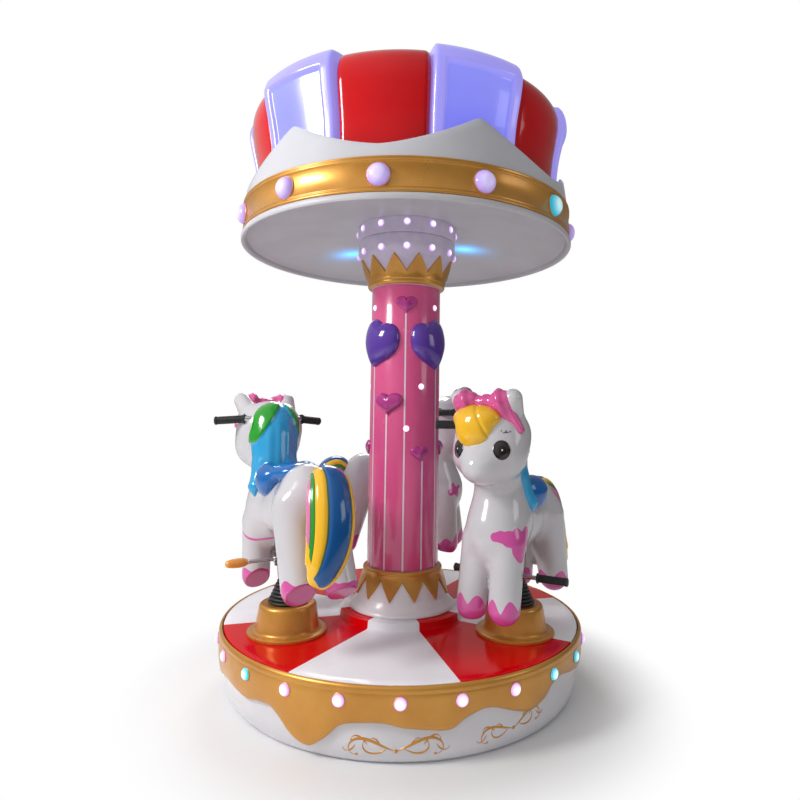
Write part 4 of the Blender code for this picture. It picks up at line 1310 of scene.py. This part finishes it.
def make_hearts():
    groups = {"large": [], "small": []}
    for turn in (0.0, 180.0):
        for kind, azimuth, z, width, height, bulge, tilt in HEARTS:
            small = kind == "small"
            outline = heart(width, height, 0.25 if small else 1.0)
            ripple = folds_over(width) if small else None
            form = boss(outline, azimuth + turn, 0.1495, z, bulge, tilt, power=2.4, ripple=ripple)
            groups[kind].append(form)
    paints = {"large": gelcoat("heart_purple", PURPLE), "small": gelcoat("heart_magenta", MAGENTA)}
    for kind, forms in groups.items():
        piece("hearts_" + kind, merged(forms), "turntable", paints[kind])


def make_shaft_lamps():
    lamps = []
    for turn in (0.0, 180.0):
        for azimuth, z in SHAFT_LAMPS:
            lamp = bulb(0.0128, 0.006, 0.004)
            spot = Matrix.Translation(on_circle(azimuth + turn, SHAFT_R, z))
            lamp.transform(spot @ Matrix.Rotation(math.radians(azimuth + turn), 4, "Z"))
            lamps.append(lamp)
    paint = lamp_paint("shaft_lamp", srgb(225, 195, 235), srgb(255, 252, 255), 1.0)
    piece("shaft_lamps", merged(lamps), "turntable", paint)


def make_column():
    # The foot takes a lighter copy of the white gelcoat, as painted light
    white = gelcoat("column_white_lit", srgb(240, 236, 240), rough=0.2)
    gold = gold_paint("column_gold")
    flare = [(0.2190, 0.2905), (0.2080, 0.3010), (0.1970, 0.3170), (0.1900, 0.3300), (0.1790, 0.3640)]
    foot = [(0.0, 0.2776), (0.2190, 0.2776), (0.2218, 0.2800), (0.2215, 0.2850)]
    foot += through(flare + [(0.1525, 0.4415)], 5) + [(0.0, 0.4415)]
    piece("foot", turned(foot), "turntable", white, ["column_foot"])

    def foot_rows(azimuth):
        return pointed_rows(foot_skin, FOOT_BEADS, 0.403 - 0.074 * saw(azimuth, 0.0, 30.0), 1)

    crown = ring([(1.0 * k, foot_rows(1.0 * k)) for k in range(360)])
    piece("foot_crown", crown, "turntable", gold, ["column_foot_crown"], sharp=60.0)

    pink = gelcoat("shaft_pink", PINK, rough=0.22)
    shaft = [(0.0, 0.4420), (0.1495, 0.4420), (SHAFT_R, 0.4440), (SHAFT_R, 1.6140), (0.1495, 1.6156)]
    piece("shaft", turned(shaft + [(0.0, 1.6156)]), "turntable", pink, ["column_shaft"])
    make_stripes()
    make_hearts()
    make_shaft_lamps()

    swell = [(bowl_skin(1.735), 1.735), (0.2080, 1.757), (0.2140, 1.775), (0.2150, 1.795), (0.2145, 1.8180)]
    bowl = [(0.0, 1.6162)] + [(bowl_skin(z), z) for z in (1.6162, 1.66, 1.70)]
    bowl += through(swell, 5) + [(0.2125, 1.8212), (0.0, 1.8212)]
    glowing = glowing_white("bowl_white", 0.05)
    piece("bowl", turned(bowl), "turntable", glowing, ["column_bowl"])
    upper = [(0.0, 1.8222), (0.2085, 1.8222), (0.2150, 1.8250), (0.2168, 1.8300), (0.2170, 1.8894)]
    upper = turned(upper + [(0.0, 1.8894)])
    piece("collar", upper, "turntable", glowing, ["column_collar"])

    def capital_rows(azimuth):
        return pointed_rows(bowl_skin, CAPITAL_BEADS, 1.671 + 0.072 * saw(azimuth, 0.0, 30.0), -1)

    capital = ring([(1.0 * k, capital_rows(1.0 * k)) for k in range(360)])
    piece("capital", capital, "turntable", gold, ["column_capital_crown"], sharp=60.0)
    lamp = bulb(0.0152, 0.008, 0.004, steps=20)
    lilac = lamp_paint("bowl_lamp", srgb(190, 150, 225), srgb(250, 240, 255), 0.95)
    for name, radius, z in (("bowl_lamps", 0.2118, 1.766), ("collar_lamps", 0.2165, 1.866)):
        piece(name, evenly_round(name, lamp, lilac, 12, radius, z), "turntable", lilac)


def glowing_white(name, strength):
    """White translucent moulding with lamps shining through it a little."""
    made, nodes, links, shader = shader_of(name)
    cloud = spread(nodes, links, 22.0, 0.0, 1.0)
    tint = blended(nodes, links, cloud, srgb(206, 196, 214), srgb(188, 178, 200))
    links.new(tint, shader.inputs["Base Color"])
    shader.inputs["Emission Color"].default_value = (*srgb(225, 205, 250), 1.0)
    shader.inputs["Emission Strength"].default_value = strength
    finish_surface(nodes, links, shader, 0.22, 70.0, 0.0003)
    return made


def soffit_paint():
    """White gelcoat painted greyer than the other white mouldings, as painted shade under the canopy, with
    cyan light painted on it as a glow on both sides of the column.
    """
    made = gelcoat("soffit_white", srgb(200, 198, 202), rough=0.42, coat=0.0)
    nodes, links = made.node_tree.nodes, made.node_tree.links
    shader = nodes["Principled BSDF"]
    shader.inputs["Emission Color"].default_value = (*srgb(0, 165, 255), 1.0)
    links.new(attribute_of(nodes, "glow"), shader.inputs["Emission Strength"])
    return made


# Sections and curves of the canopy and the crown, as (radius, z)
UNDERSIDE = [
    (0.205, 1.8900), (0.300, 1.8892), (0.400, 1.8830), (0.500, 1.8680), (0.600, 1.8420),
    (0.655, 1.8200), (0.686, 1.8010),
]
ROLLED_EDGE = [
    (0.6880, 1.7990), (0.6892, 1.7935), (0.6925, 1.7860), (0.6975, 1.7815), (0.7035, 1.7801),
    (0.7085, 1.7815), (0.7113, 1.7860), (0.7118, 1.7920), (0.7105, 1.7990), (0.7075, 1.8040),
    (0.7030, 1.8070), (0.6977, 1.8075),
]
BAND = [
    (0.6984, 1.8080), (0.7050, 1.8080), (0.7066, 1.8105), (0.7068, 1.8150), (0.7050, 1.8185),
    (0.7040, 1.8200), (0.7040, 1.8225), (0.7052, 1.8245), (0.7048, 1.8275), (0.7036, 1.8290),
    (0.7036, 1.9100), (0.7050, 1.9120), (0.7066, 1.9150), (0.7066, 1.9185), (0.7048, 1.9205),
    (0.7048, 1.9235), (0.7068, 1.9265), (0.7062, 1.9305), (0.7040, 1.9318), (0.6984, 1.9318),
]
PILLOW_FRONT = [
    (0.640, 1.9326), (0.641, 2.00), (0.650, 2.10), (0.664, 2.18), (0.674, 2.240),
    (0.674, 2.288), (0.660, 2.324), (0.632, 2.348), (0.596, 2.365), (0.560, 2.378),
]
PANEL_FRONT = [(0.640, 1.9326), (0.642, 2.00), (0.654, 2.115), (0.680, 2.233), (0.688, 2.288), (0.683, 2.315)]
PANEL_TOP = [(0.675, 2.335), (0.662, 2.351), (0.639, 2.363), (0.607, 2.371), (0.5622, 2.376)]
CAP = [(0.0, 2.3785), (0.5535, 2.3785), (0.5535, 2.392), (0.50, 2.400), (0.0, 2.400)]


def make_soffit():
    under = [(0.0, 1.8900)] + through(UNDERSIDE, 8)
    mesh = turned(under + ROLLED_EDGE + [(0.6977, 1.9318), (0.0, 1.9318)], 240)
    points = points_of(mesh)
    radius = np.hypot(points[:, 0], points[:, 1])
    # Cyan light painted on the soffit, strongest round each spot in GLOWS
    glow = np.zeros(len(points))
    for x, y, reach in GLOWS:
        away = np.hypot((points[:, 0] - x) / 1.7, (points[:, 1] - y) / 1.1) / reach
        glow += np.exp(-(away**1.3) * 2.0)
    mark(mesh, "glow", np.where((points[:, 2] < 1.9) & (radius > 0.2), glow * 2.4, 0.0))
    piece("soffit", mesh, "turntable", soffit_paint(), ["canopy_soffit"])


def make_band():
    gold = gold_paint("band_gold")
    piece("band", turned(BAND, 240), "turntable", gold, ["canopy_band"], sharp=60.0)
    bezel = collar(0.0402, 0.0440, 0.0030, 0.004, 48)
    bezels = evenly_round("dome_bezels", bezel, gold, BAND_LAMPS, 0.7034, BAND_LAMP_Z, CROWN_PHASE)
    piece("dome_bezels", bezels, "turntable", gold)
    dome = bulb(0.0405, 0.032, 0.004, steps=40, rows=12)
    domes = evenly_round("band_domes", dome, gold, BAND_LAMPS, 0.7030, BAND_LAMP_Z, CROWN_PHASE)
    index = np.round((azimuth_of(points_of(domes)) - CROWN_PHASE) * BAND_LAMPS / 360.0) % BAND_LAMPS
    mark(domes, "cyan", np.where(index == CYAN_DOME, 1.0, -1.0))
    paint = lamp_paint("dome_lamp", srgb(172, 144, 214), srgb(206, 192, 242), 0.40, cyan=True)
    piece("band_domes", domes, "turntable", paint)


def crest_skin(z):
    """Radius of the crest's front, which leans inwards, at height z."""
    return 0.7000 - (z - 1.932) * 0.13


def crest_rows(azimuth):
    """The crest's section at an azimuth. Its six peaks stand between the pillows."""
    rise = saw(azimuth, CROWN_PHASE, 60.0)
    rise = 1.0 - math.hypot(1.0 - rise, 0.035) + 0.035
    high = 1.980 + 0.126 * rise**1.75
    rows = []
    for share in (0.0, 0.2, 0.5, 0.8):
        z = CREST_FOOT + (high - 0.006 - CREST_FOOT) * share
        rows.append((crest_skin(z), z))
    top = crest_skin(high)
    rows += [(top, high - 0.004), (top - 0.0018, high - 0.0010), (top - 0.0050, high)]
    rows += [(top - 0.0085, high - 0.0012), (top - 0.0100, high - 0.005), (0.6890, CREST_FOOT)]
    return rows


def make_crest():
    crest = ring([(CROWN_PHASE + 0.75 * k, crest_rows(CROWN_PHASE + 0.75 * k)) for k in range(480)])
    paint = gelcoat("crest_white", SHADED_CROWN_WHITE)
    piece("crest", crest, "turntable", paint, ["canopy_crest"], sharp=50.0)


def make_cap():
    paint = gelcoat("cap_white", SHADED_CROWN_WHITE, rough=0.5, coat=0.0)
    piece("cap", turned(rounded(CAP, 0.004)), "turntable", paint, ["crown_cap"])


def make_pillows():
    """The core with six bulging red cushions, rounded off along their upright edges and top."""
    front = through(PILLOW_FRONT, 5)
    sections = []
    for k in range(6):
        middle = CROWN_PHASE + 60.0 * k
        for step in range(-30, 31):
            a = 14.95 * step / 30.0
            edge = max(0.0, (abs(a) - 12.6) / 2.35)
            drop = 0.030 * (1.0 - math.sqrt(max(0.0, 1.0 - edge**2)))
            belly = 0.006 * (1.0 - (a / 15.0) ** 2)
            rows = []
            for r, z in front[:-1]:
                bulged = r - drop + belly * math.sin(math.pi * (z - 1.93) / 0.45)
                rows.append((max(bulged, 0.5605), z - 0.4 * drop * (z > 2.28)))
            sections.append((middle + a, rows + [(0.560, 2.378), (0.300, 2.378), (0.300, 1.9326)]))
        for a in (15.4, 30.0, 44.6):
            rows = [(0.560, z) for r, z in front]
            sections.append((middle + a, rows + [(0.300, 2.378), (0.300, 1.9326)]))
    red = gelcoat("crown_red", srgb(208, 4, 20), rough=0.12, coat=0.5)
    red.node_tree.nodes["Principled BSDF"].inputs["Specular IOR Level"].default_value = 0.3
    piece("pillows", ring(sections), "turntable", red, ["crown_dome"], sharp=50.0)


def panel_paint():
    """Frosted panel lit from inside, paler on its raised edges."""
    made, nodes, links, shader = shader_of("panel_light")
    height, flange = attribute_of(nodes, "height"), attribute_of(nodes, "flange")
    middle = blended(nodes, links, height, srgb(104, 106, 238), srgb(126, 132, 246))
    glow = blended(nodes, links, flange, middle, srgb(146, 138, 232))
    cloud = spread(nodes, links, 4.0, 0.0, 0.35)
    glow = blended(nodes, links, cloud, glow, srgb(156, 150, 238))
    links.new(blended(nodes, links, 0.45, glow, (0.12,) * 3), shader.inputs["Base Color"])
    links.new(glow, shader.inputs["Emission Color"])
    shader.inputs["Emission Strength"].default_value = 0.72
    shader.inputs["Roughness"].default_value = 0.22
    shader.inputs["Coat Weight"].default_value = 0.5
    return made


def ramp(value, low, high):
    """0 below low, 1 above high, and a soft rise between them."""
    t = min(1.0, max(0.0, (value - low) / (high - low)))
    return t * t * (3.0 - 2.0 * t)


def make_panels():
    """Six lit panels, each with a rounded flange along both sides and the top."""
    front = through(PANEL_FRONT, 8)
    paint = panel_paint()
    for k in range(6):
        middle = CROWN_PHASE + 30.0 + 60.0 * k
        sections = []
        for step in range(-36, 37):
            a = 14.85 * step / 36.0
            side = ramp(abs(a), 10.6, 11.6)
            edge = max(0.0, (abs(a) - 13.55) / 1.3)
            drop = 0.013 * (1.0 - math.sqrt(max(0.0, 1.0 - edge**2)))
            rows = [(r + 0.012 * max(side, ramp(z, 2.272, 2.294)) - drop, z) for r, z in front]
            rows += [(max(r + 0.012 * (r > 0.65) - drop, 0.5622), z - drop * 0.5) for r, z in PANEL_TOP]
            sections.append((middle + a, rows + [(0.5622, 1.9326)]))
        mesh = ring(sections, whole=False)
        points = points_of(mesh)
        turn = np.abs((azimuth_of(points) - middle + 180.0) % 360.0 - 180.0)
        edge = np.maximum(turn - 10.6, (points[:, 2] - 2.272) / 0.02)
        mark(mesh, "flange", np.clip(edge, 0.0, 1.0))
        mark(mesh, "height", np.clip((points[:, 2] - 1.95) / 0.35, 0.0, 1.0))
        name = "light_panel_%d" % (k + 1)
        piece(name + "_cover", mesh, "turntable", paint, [name], sharp=50.0)


# Handlebars and foot pegs, in the pony's own frame


def spindle(start, end, rows, steps=24):
    """A round bar from start towards end through (distance, radius) rows, closed at both ends."""
    start, end = Vector(start), Vector(end)
    aim = (end - start).to_track_quat("Z", "Y").to_matrix().to_4x4()
    bm = bmesh.new()
    turns = [2 * math.pi * j / steps for j in range(steps)]
    loops = []
    for along, radius in rows:
        loops.append([bm.verts.new((radius * math.cos(a), radius * math.sin(a), along)) for a in turns])
    join_rows(bm, loops, steps)
    bm.faces.new(loops[0])
    bm.faces.new(loops[-1])
    bm.transform(Matrix.Translation(start) @ aim)
    return closed(bm)


def grip_rows(start, length, radius, flange):
    """A rubber grip with a flange at its root, fine ribs and a rounded end."""
    pitch = 0.0045
    groove = radius - 0.0012
    rows = [(start, flange - 0.001), (start + 0.001, flange), (start + 0.0035, flange)]
    rows.append((start + 0.0045, radius + 0.001))
    for k in range(int((length - 0.018) / pitch)):
        at = start + 0.008 + k * pitch
        rows += [(at, groove), (at + 0.0008, radius), (at + 0.0028, radius), (at + 0.0036, groove)]
    end = start + length
    rows += [(end - 0.009, radius + 0.0012), (end - 0.003, radius + 0.0012)]
    return rows + [(end - 0.0008, radius - 0.001), (end, radius - 0.004)]


def make_bars(name, steel, black):
    """The handlebar. Pony 1 has its inner half only."""
    bend = Vector((0.150, 0.085, 0.788))
    tip = Vector((0.236, 0.230, 0.788))
    reach = (tip - bend).length
    across = [spindle((0.150, -0.088, 0.788), (0.150, 0.088, 0.788), [(0.0, 0.012), (0.176, 0.012)])]
    grips = []
    for side in (-1, 1):
        if side == 1 and name == "1":
            continue
        root, end = [Vector((p.x, p.y * side, p.z)) for p in (bend, tip)]
        across.append(spindle(root, end, [(-0.006, 0.0117), (reach - 0.045, 0.0117)]))
        grips.append(spindle(root, end, grip_rows(0.0435, reach - 0.0440, 0.0165, 0.0215)))
    pony_piece("bar", merged(across), name, steel)
    pony_piece("grips", merged(grips), name, black, ["pony_%s_handlebar" % name])


def peg_line(y):
    """The place at y on the line along which the foot pegs lie."""
    return (0.064, y, 0.227)


# The bracket's plates by two corners, and the painted peg as (distance, radius)
PLATES = (
    ((-0.045, -0.032, 0.2005), (0.085, -0.0235, 0.325)),
    ((-0.045, 0.0235, 0.2005), (0.085, 0.032, 0.325)),
    ((-0.045, -0.031, 0.290), (0.085, 0.031, 0.329)),
    ((0.0605, -0.031, 0.2015), (0.0845, 0.031, 0.328)),
)
PEG = [
    (0.0, 0.0085), (0.003, 0.0100), (0.014, 0.0160), (0.030, 0.0178),
    (0.052, 0.0172), (0.072, 0.0145), (0.081, 0.0110), (0.085, 0.0055),
]


def make_footrest(name, steel, black, orange):
    """The bracket and its bar, with rubber grips on it, or a painted peg on its outer end."""
    rest = [slab(low, high) for low, high in PLATES]
    rest.append(spindle(peg_line(-0.220), peg_line(0.220), [(0.0, 0.0078), (0.440, 0.0078)], 16))
    nut = [(0.0, 0.013), (0.010, 0.013), (0.014, 0.009)]
    for side in (-1, 1):
        rest.append(spindle(peg_line(side * 0.030), peg_line(side * 0.045), nut, 16))
    pony_piece("rest", merged(rest), name, steel, ["pony_%s_footrest" % name])
    grip = grip_rows(0.0, 0.115, 0.0145, 0.0190)
    feet = [spindle(peg_line(-0.111), peg_line(-0.226), grip)]
    if name == "1":
        feet.append(spindle(peg_line(0.111), peg_line(0.226), grip))
    pony_piece("foot_grips", merged(feet), name, black)
    if name != "1":
        peg = spindle(peg_line(0.141), peg_line(0.226), PEG)
        pony_piece("foot_peg", peg, name, orange)


def slab(low, high):
    """An upright box between two corners, with its edges rounded."""
    bm = bmesh.new()
    bmesh.ops.create_cube(bm, size=1.0)
    size = [b - a for a, b in zip(low, high)]
    bm.transform(Matrix.Translation([(a + b) / 2 for a, b in zip(low, high)]) @ Matrix.Diagonal((*size, 1.0)))
    bmesh.ops.bevel(bm, geom=bm.edges[:], offset=0.002, segments=2, profile=0.5, affect="EDGES")
    return closed(bm)


# Stage


def make_floor():
    """A pale floor that turns into the white backdrop away from the object."""
    floor = bpy.data.meshes.new("floor")
    floor.from_pydata([(-9, -9, 0), (9, -9, 0), (9, 9, 0), (-9, 9, 0)], [], [(0, 1, 2, 3)])
    plane = bpy.data.objects.new("floor", floor)
    bpy.context.scene.collection.objects.link(plane)
    made, nodes, links, shader = shader_of("floor")
    shader.inputs["Base Color"].default_value = (0.88, 0.88, 0.89, 1.0)
    shader.inputs["Roughness"].default_value = 0.6
    place = nodes.new("ShaderNodeTexCoord")
    reach = nodes.new("ShaderNodeVectorMath")
    reach.operation = "LENGTH"
    links.new(place.outputs["Object"], reach.inputs[0])
    fade = ramped(nodes, links, reach.outputs["Value"], 0.75, 1.15, eased=True)
    white = nodes.new("ShaderNodeEmission")
    path = nodes.new("ShaderNodeLightPath")
    mix = nodes.new("ShaderNodeMixShader")
    links.new(product(nodes, links, fade, path.outputs["Is Camera Ray"]), mix.inputs["Fac"])
    links.new(shader.outputs[0], mix.inputs[1])
    links.new(white.outputs[0], mix.inputs[2])
    links.new(mix.outputs[0], nodes["Material Output"].inputs["Surface"])
    floor.materials.append(made)


def make_stage():
    scene = bpy.context.scene
    scene.view_settings.view_transform = "Standard"
    make_floor()
    make_world(scene)
    lamps = (
        ("key", (-2.7, -1.7, 2.7), 72.0, 0.9, True),
        ("front", (-2.6, -4.2, 1.5), 20.0, 2.0, False),
        ("fill", (3.4, -1.6, 2.2), 9.0, 1.2, True),
        ("back", (-0.5, 3.4, 3.4), 40.0, 1.6, True),
    )
    for name, spot, power, size, mirrored_too in lamps:
        light = bpy.data.lights.new(name, "AREA")
        light.energy = power
        light.size = size
        lamp = bpy.data.objects.new(name, light)
        scene.collection.objects.link(lamp)
        lamp.location = spot
        lamp.rotation_euler = (Vector((0, 0, 1.1)) - Vector(spot)).to_track_quat("-Z", "Y").to_euler()
        lamp.visible_glossy = mirrored_too


def make_world(scene):
    """White where the camera looks past the object, and elsewhere a grey room, brighter above and left."""
    world = bpy.data.worlds.new("studio")
    scene.world = world
    world.use_nodes = True
    nodes, links = world.node_tree.nodes, world.node_tree.links
    room = nodes["Background"]
    place = nodes.new("ShaderNodeTexCoord")
    parts = nodes.new("ShaderNodeSeparateXYZ")
    links.new(place.outputs["Generated"], parts.inputs["Vector"])
    height = ramped(nodes, links, parts.outputs["Z"], -0.3, 0.9, 0.16, 0.66, eased=True)
    across = ramped(nodes, links, parts.outputs["X"], -0.5, 0.9, 1.15, 0.35, eased=True)
    links.new(product(nodes, links, height, across), room.inputs["Strength"])
    room.inputs["Color"].default_value = (1.0, 1.0, 1.0, 1.0)
    backdrop = nodes.new("ShaderNodeBackground")
    backdrop.inputs["Color"].default_value = (1.0, 1.0, 1.0, 1.0)
    path = nodes.new("ShaderNodeLightPath")
    mix = nodes.new("ShaderNodeMixShader")
    links.new(path.outputs["Is Camera Ray"], mix.inputs["Fac"])
    links.new(room.outputs[0], mix.inputs[1])
    links.new(backdrop.outputs[0], mix.inputs[2])
    links.new(mix.outputs[0], nodes["World Output"].inputs["Surface"])


def make_camera():
    """The photograph's viewpoint, 2.65 m in front of the axis and 1.07 m up."""
    yaw, pitch, roll = math.radians(-1.548), math.radians(5.17), math.radians(0.657)
    ahead = Vector((-math.sin(yaw) * math.cos(pitch), math.cos(yaw) * math.cos(pitch), math.sin(pitch)))
    level = Vector((math.cos(yaw), math.sin(yaw), 0.0))
    over = level.cross(ahead)
    right = level * math.cos(roll) + over * math.sin(roll)
    up = over * math.cos(roll) - level * math.sin(roll)
    lens = bpy.data.cameras.new("camera")
    lens.sensor_width = 36.0
    lens.lens = 27.28
    lens.shift_x = -0.0273
    lens.shift_y = -0.0494
    camera = bpy.data.objects.new("camera", lens)
    bpy.context.scene.collection.objects.link(camera)
    turn = Matrix((right, up, -ahead)).transposed().to_4x4()
    camera.matrix_world = Matrix.Translation((0.001, -2.654, 1.069)) @ turn
    bpy.context.scene.camera = camera


make_camera()
make_stage()
make_base()
make_deck()
make_pedestals()
make_column()
make_soffit()
make_band()
make_crest()
make_pillows()
make_panels()
make_cap()
make_ponies()
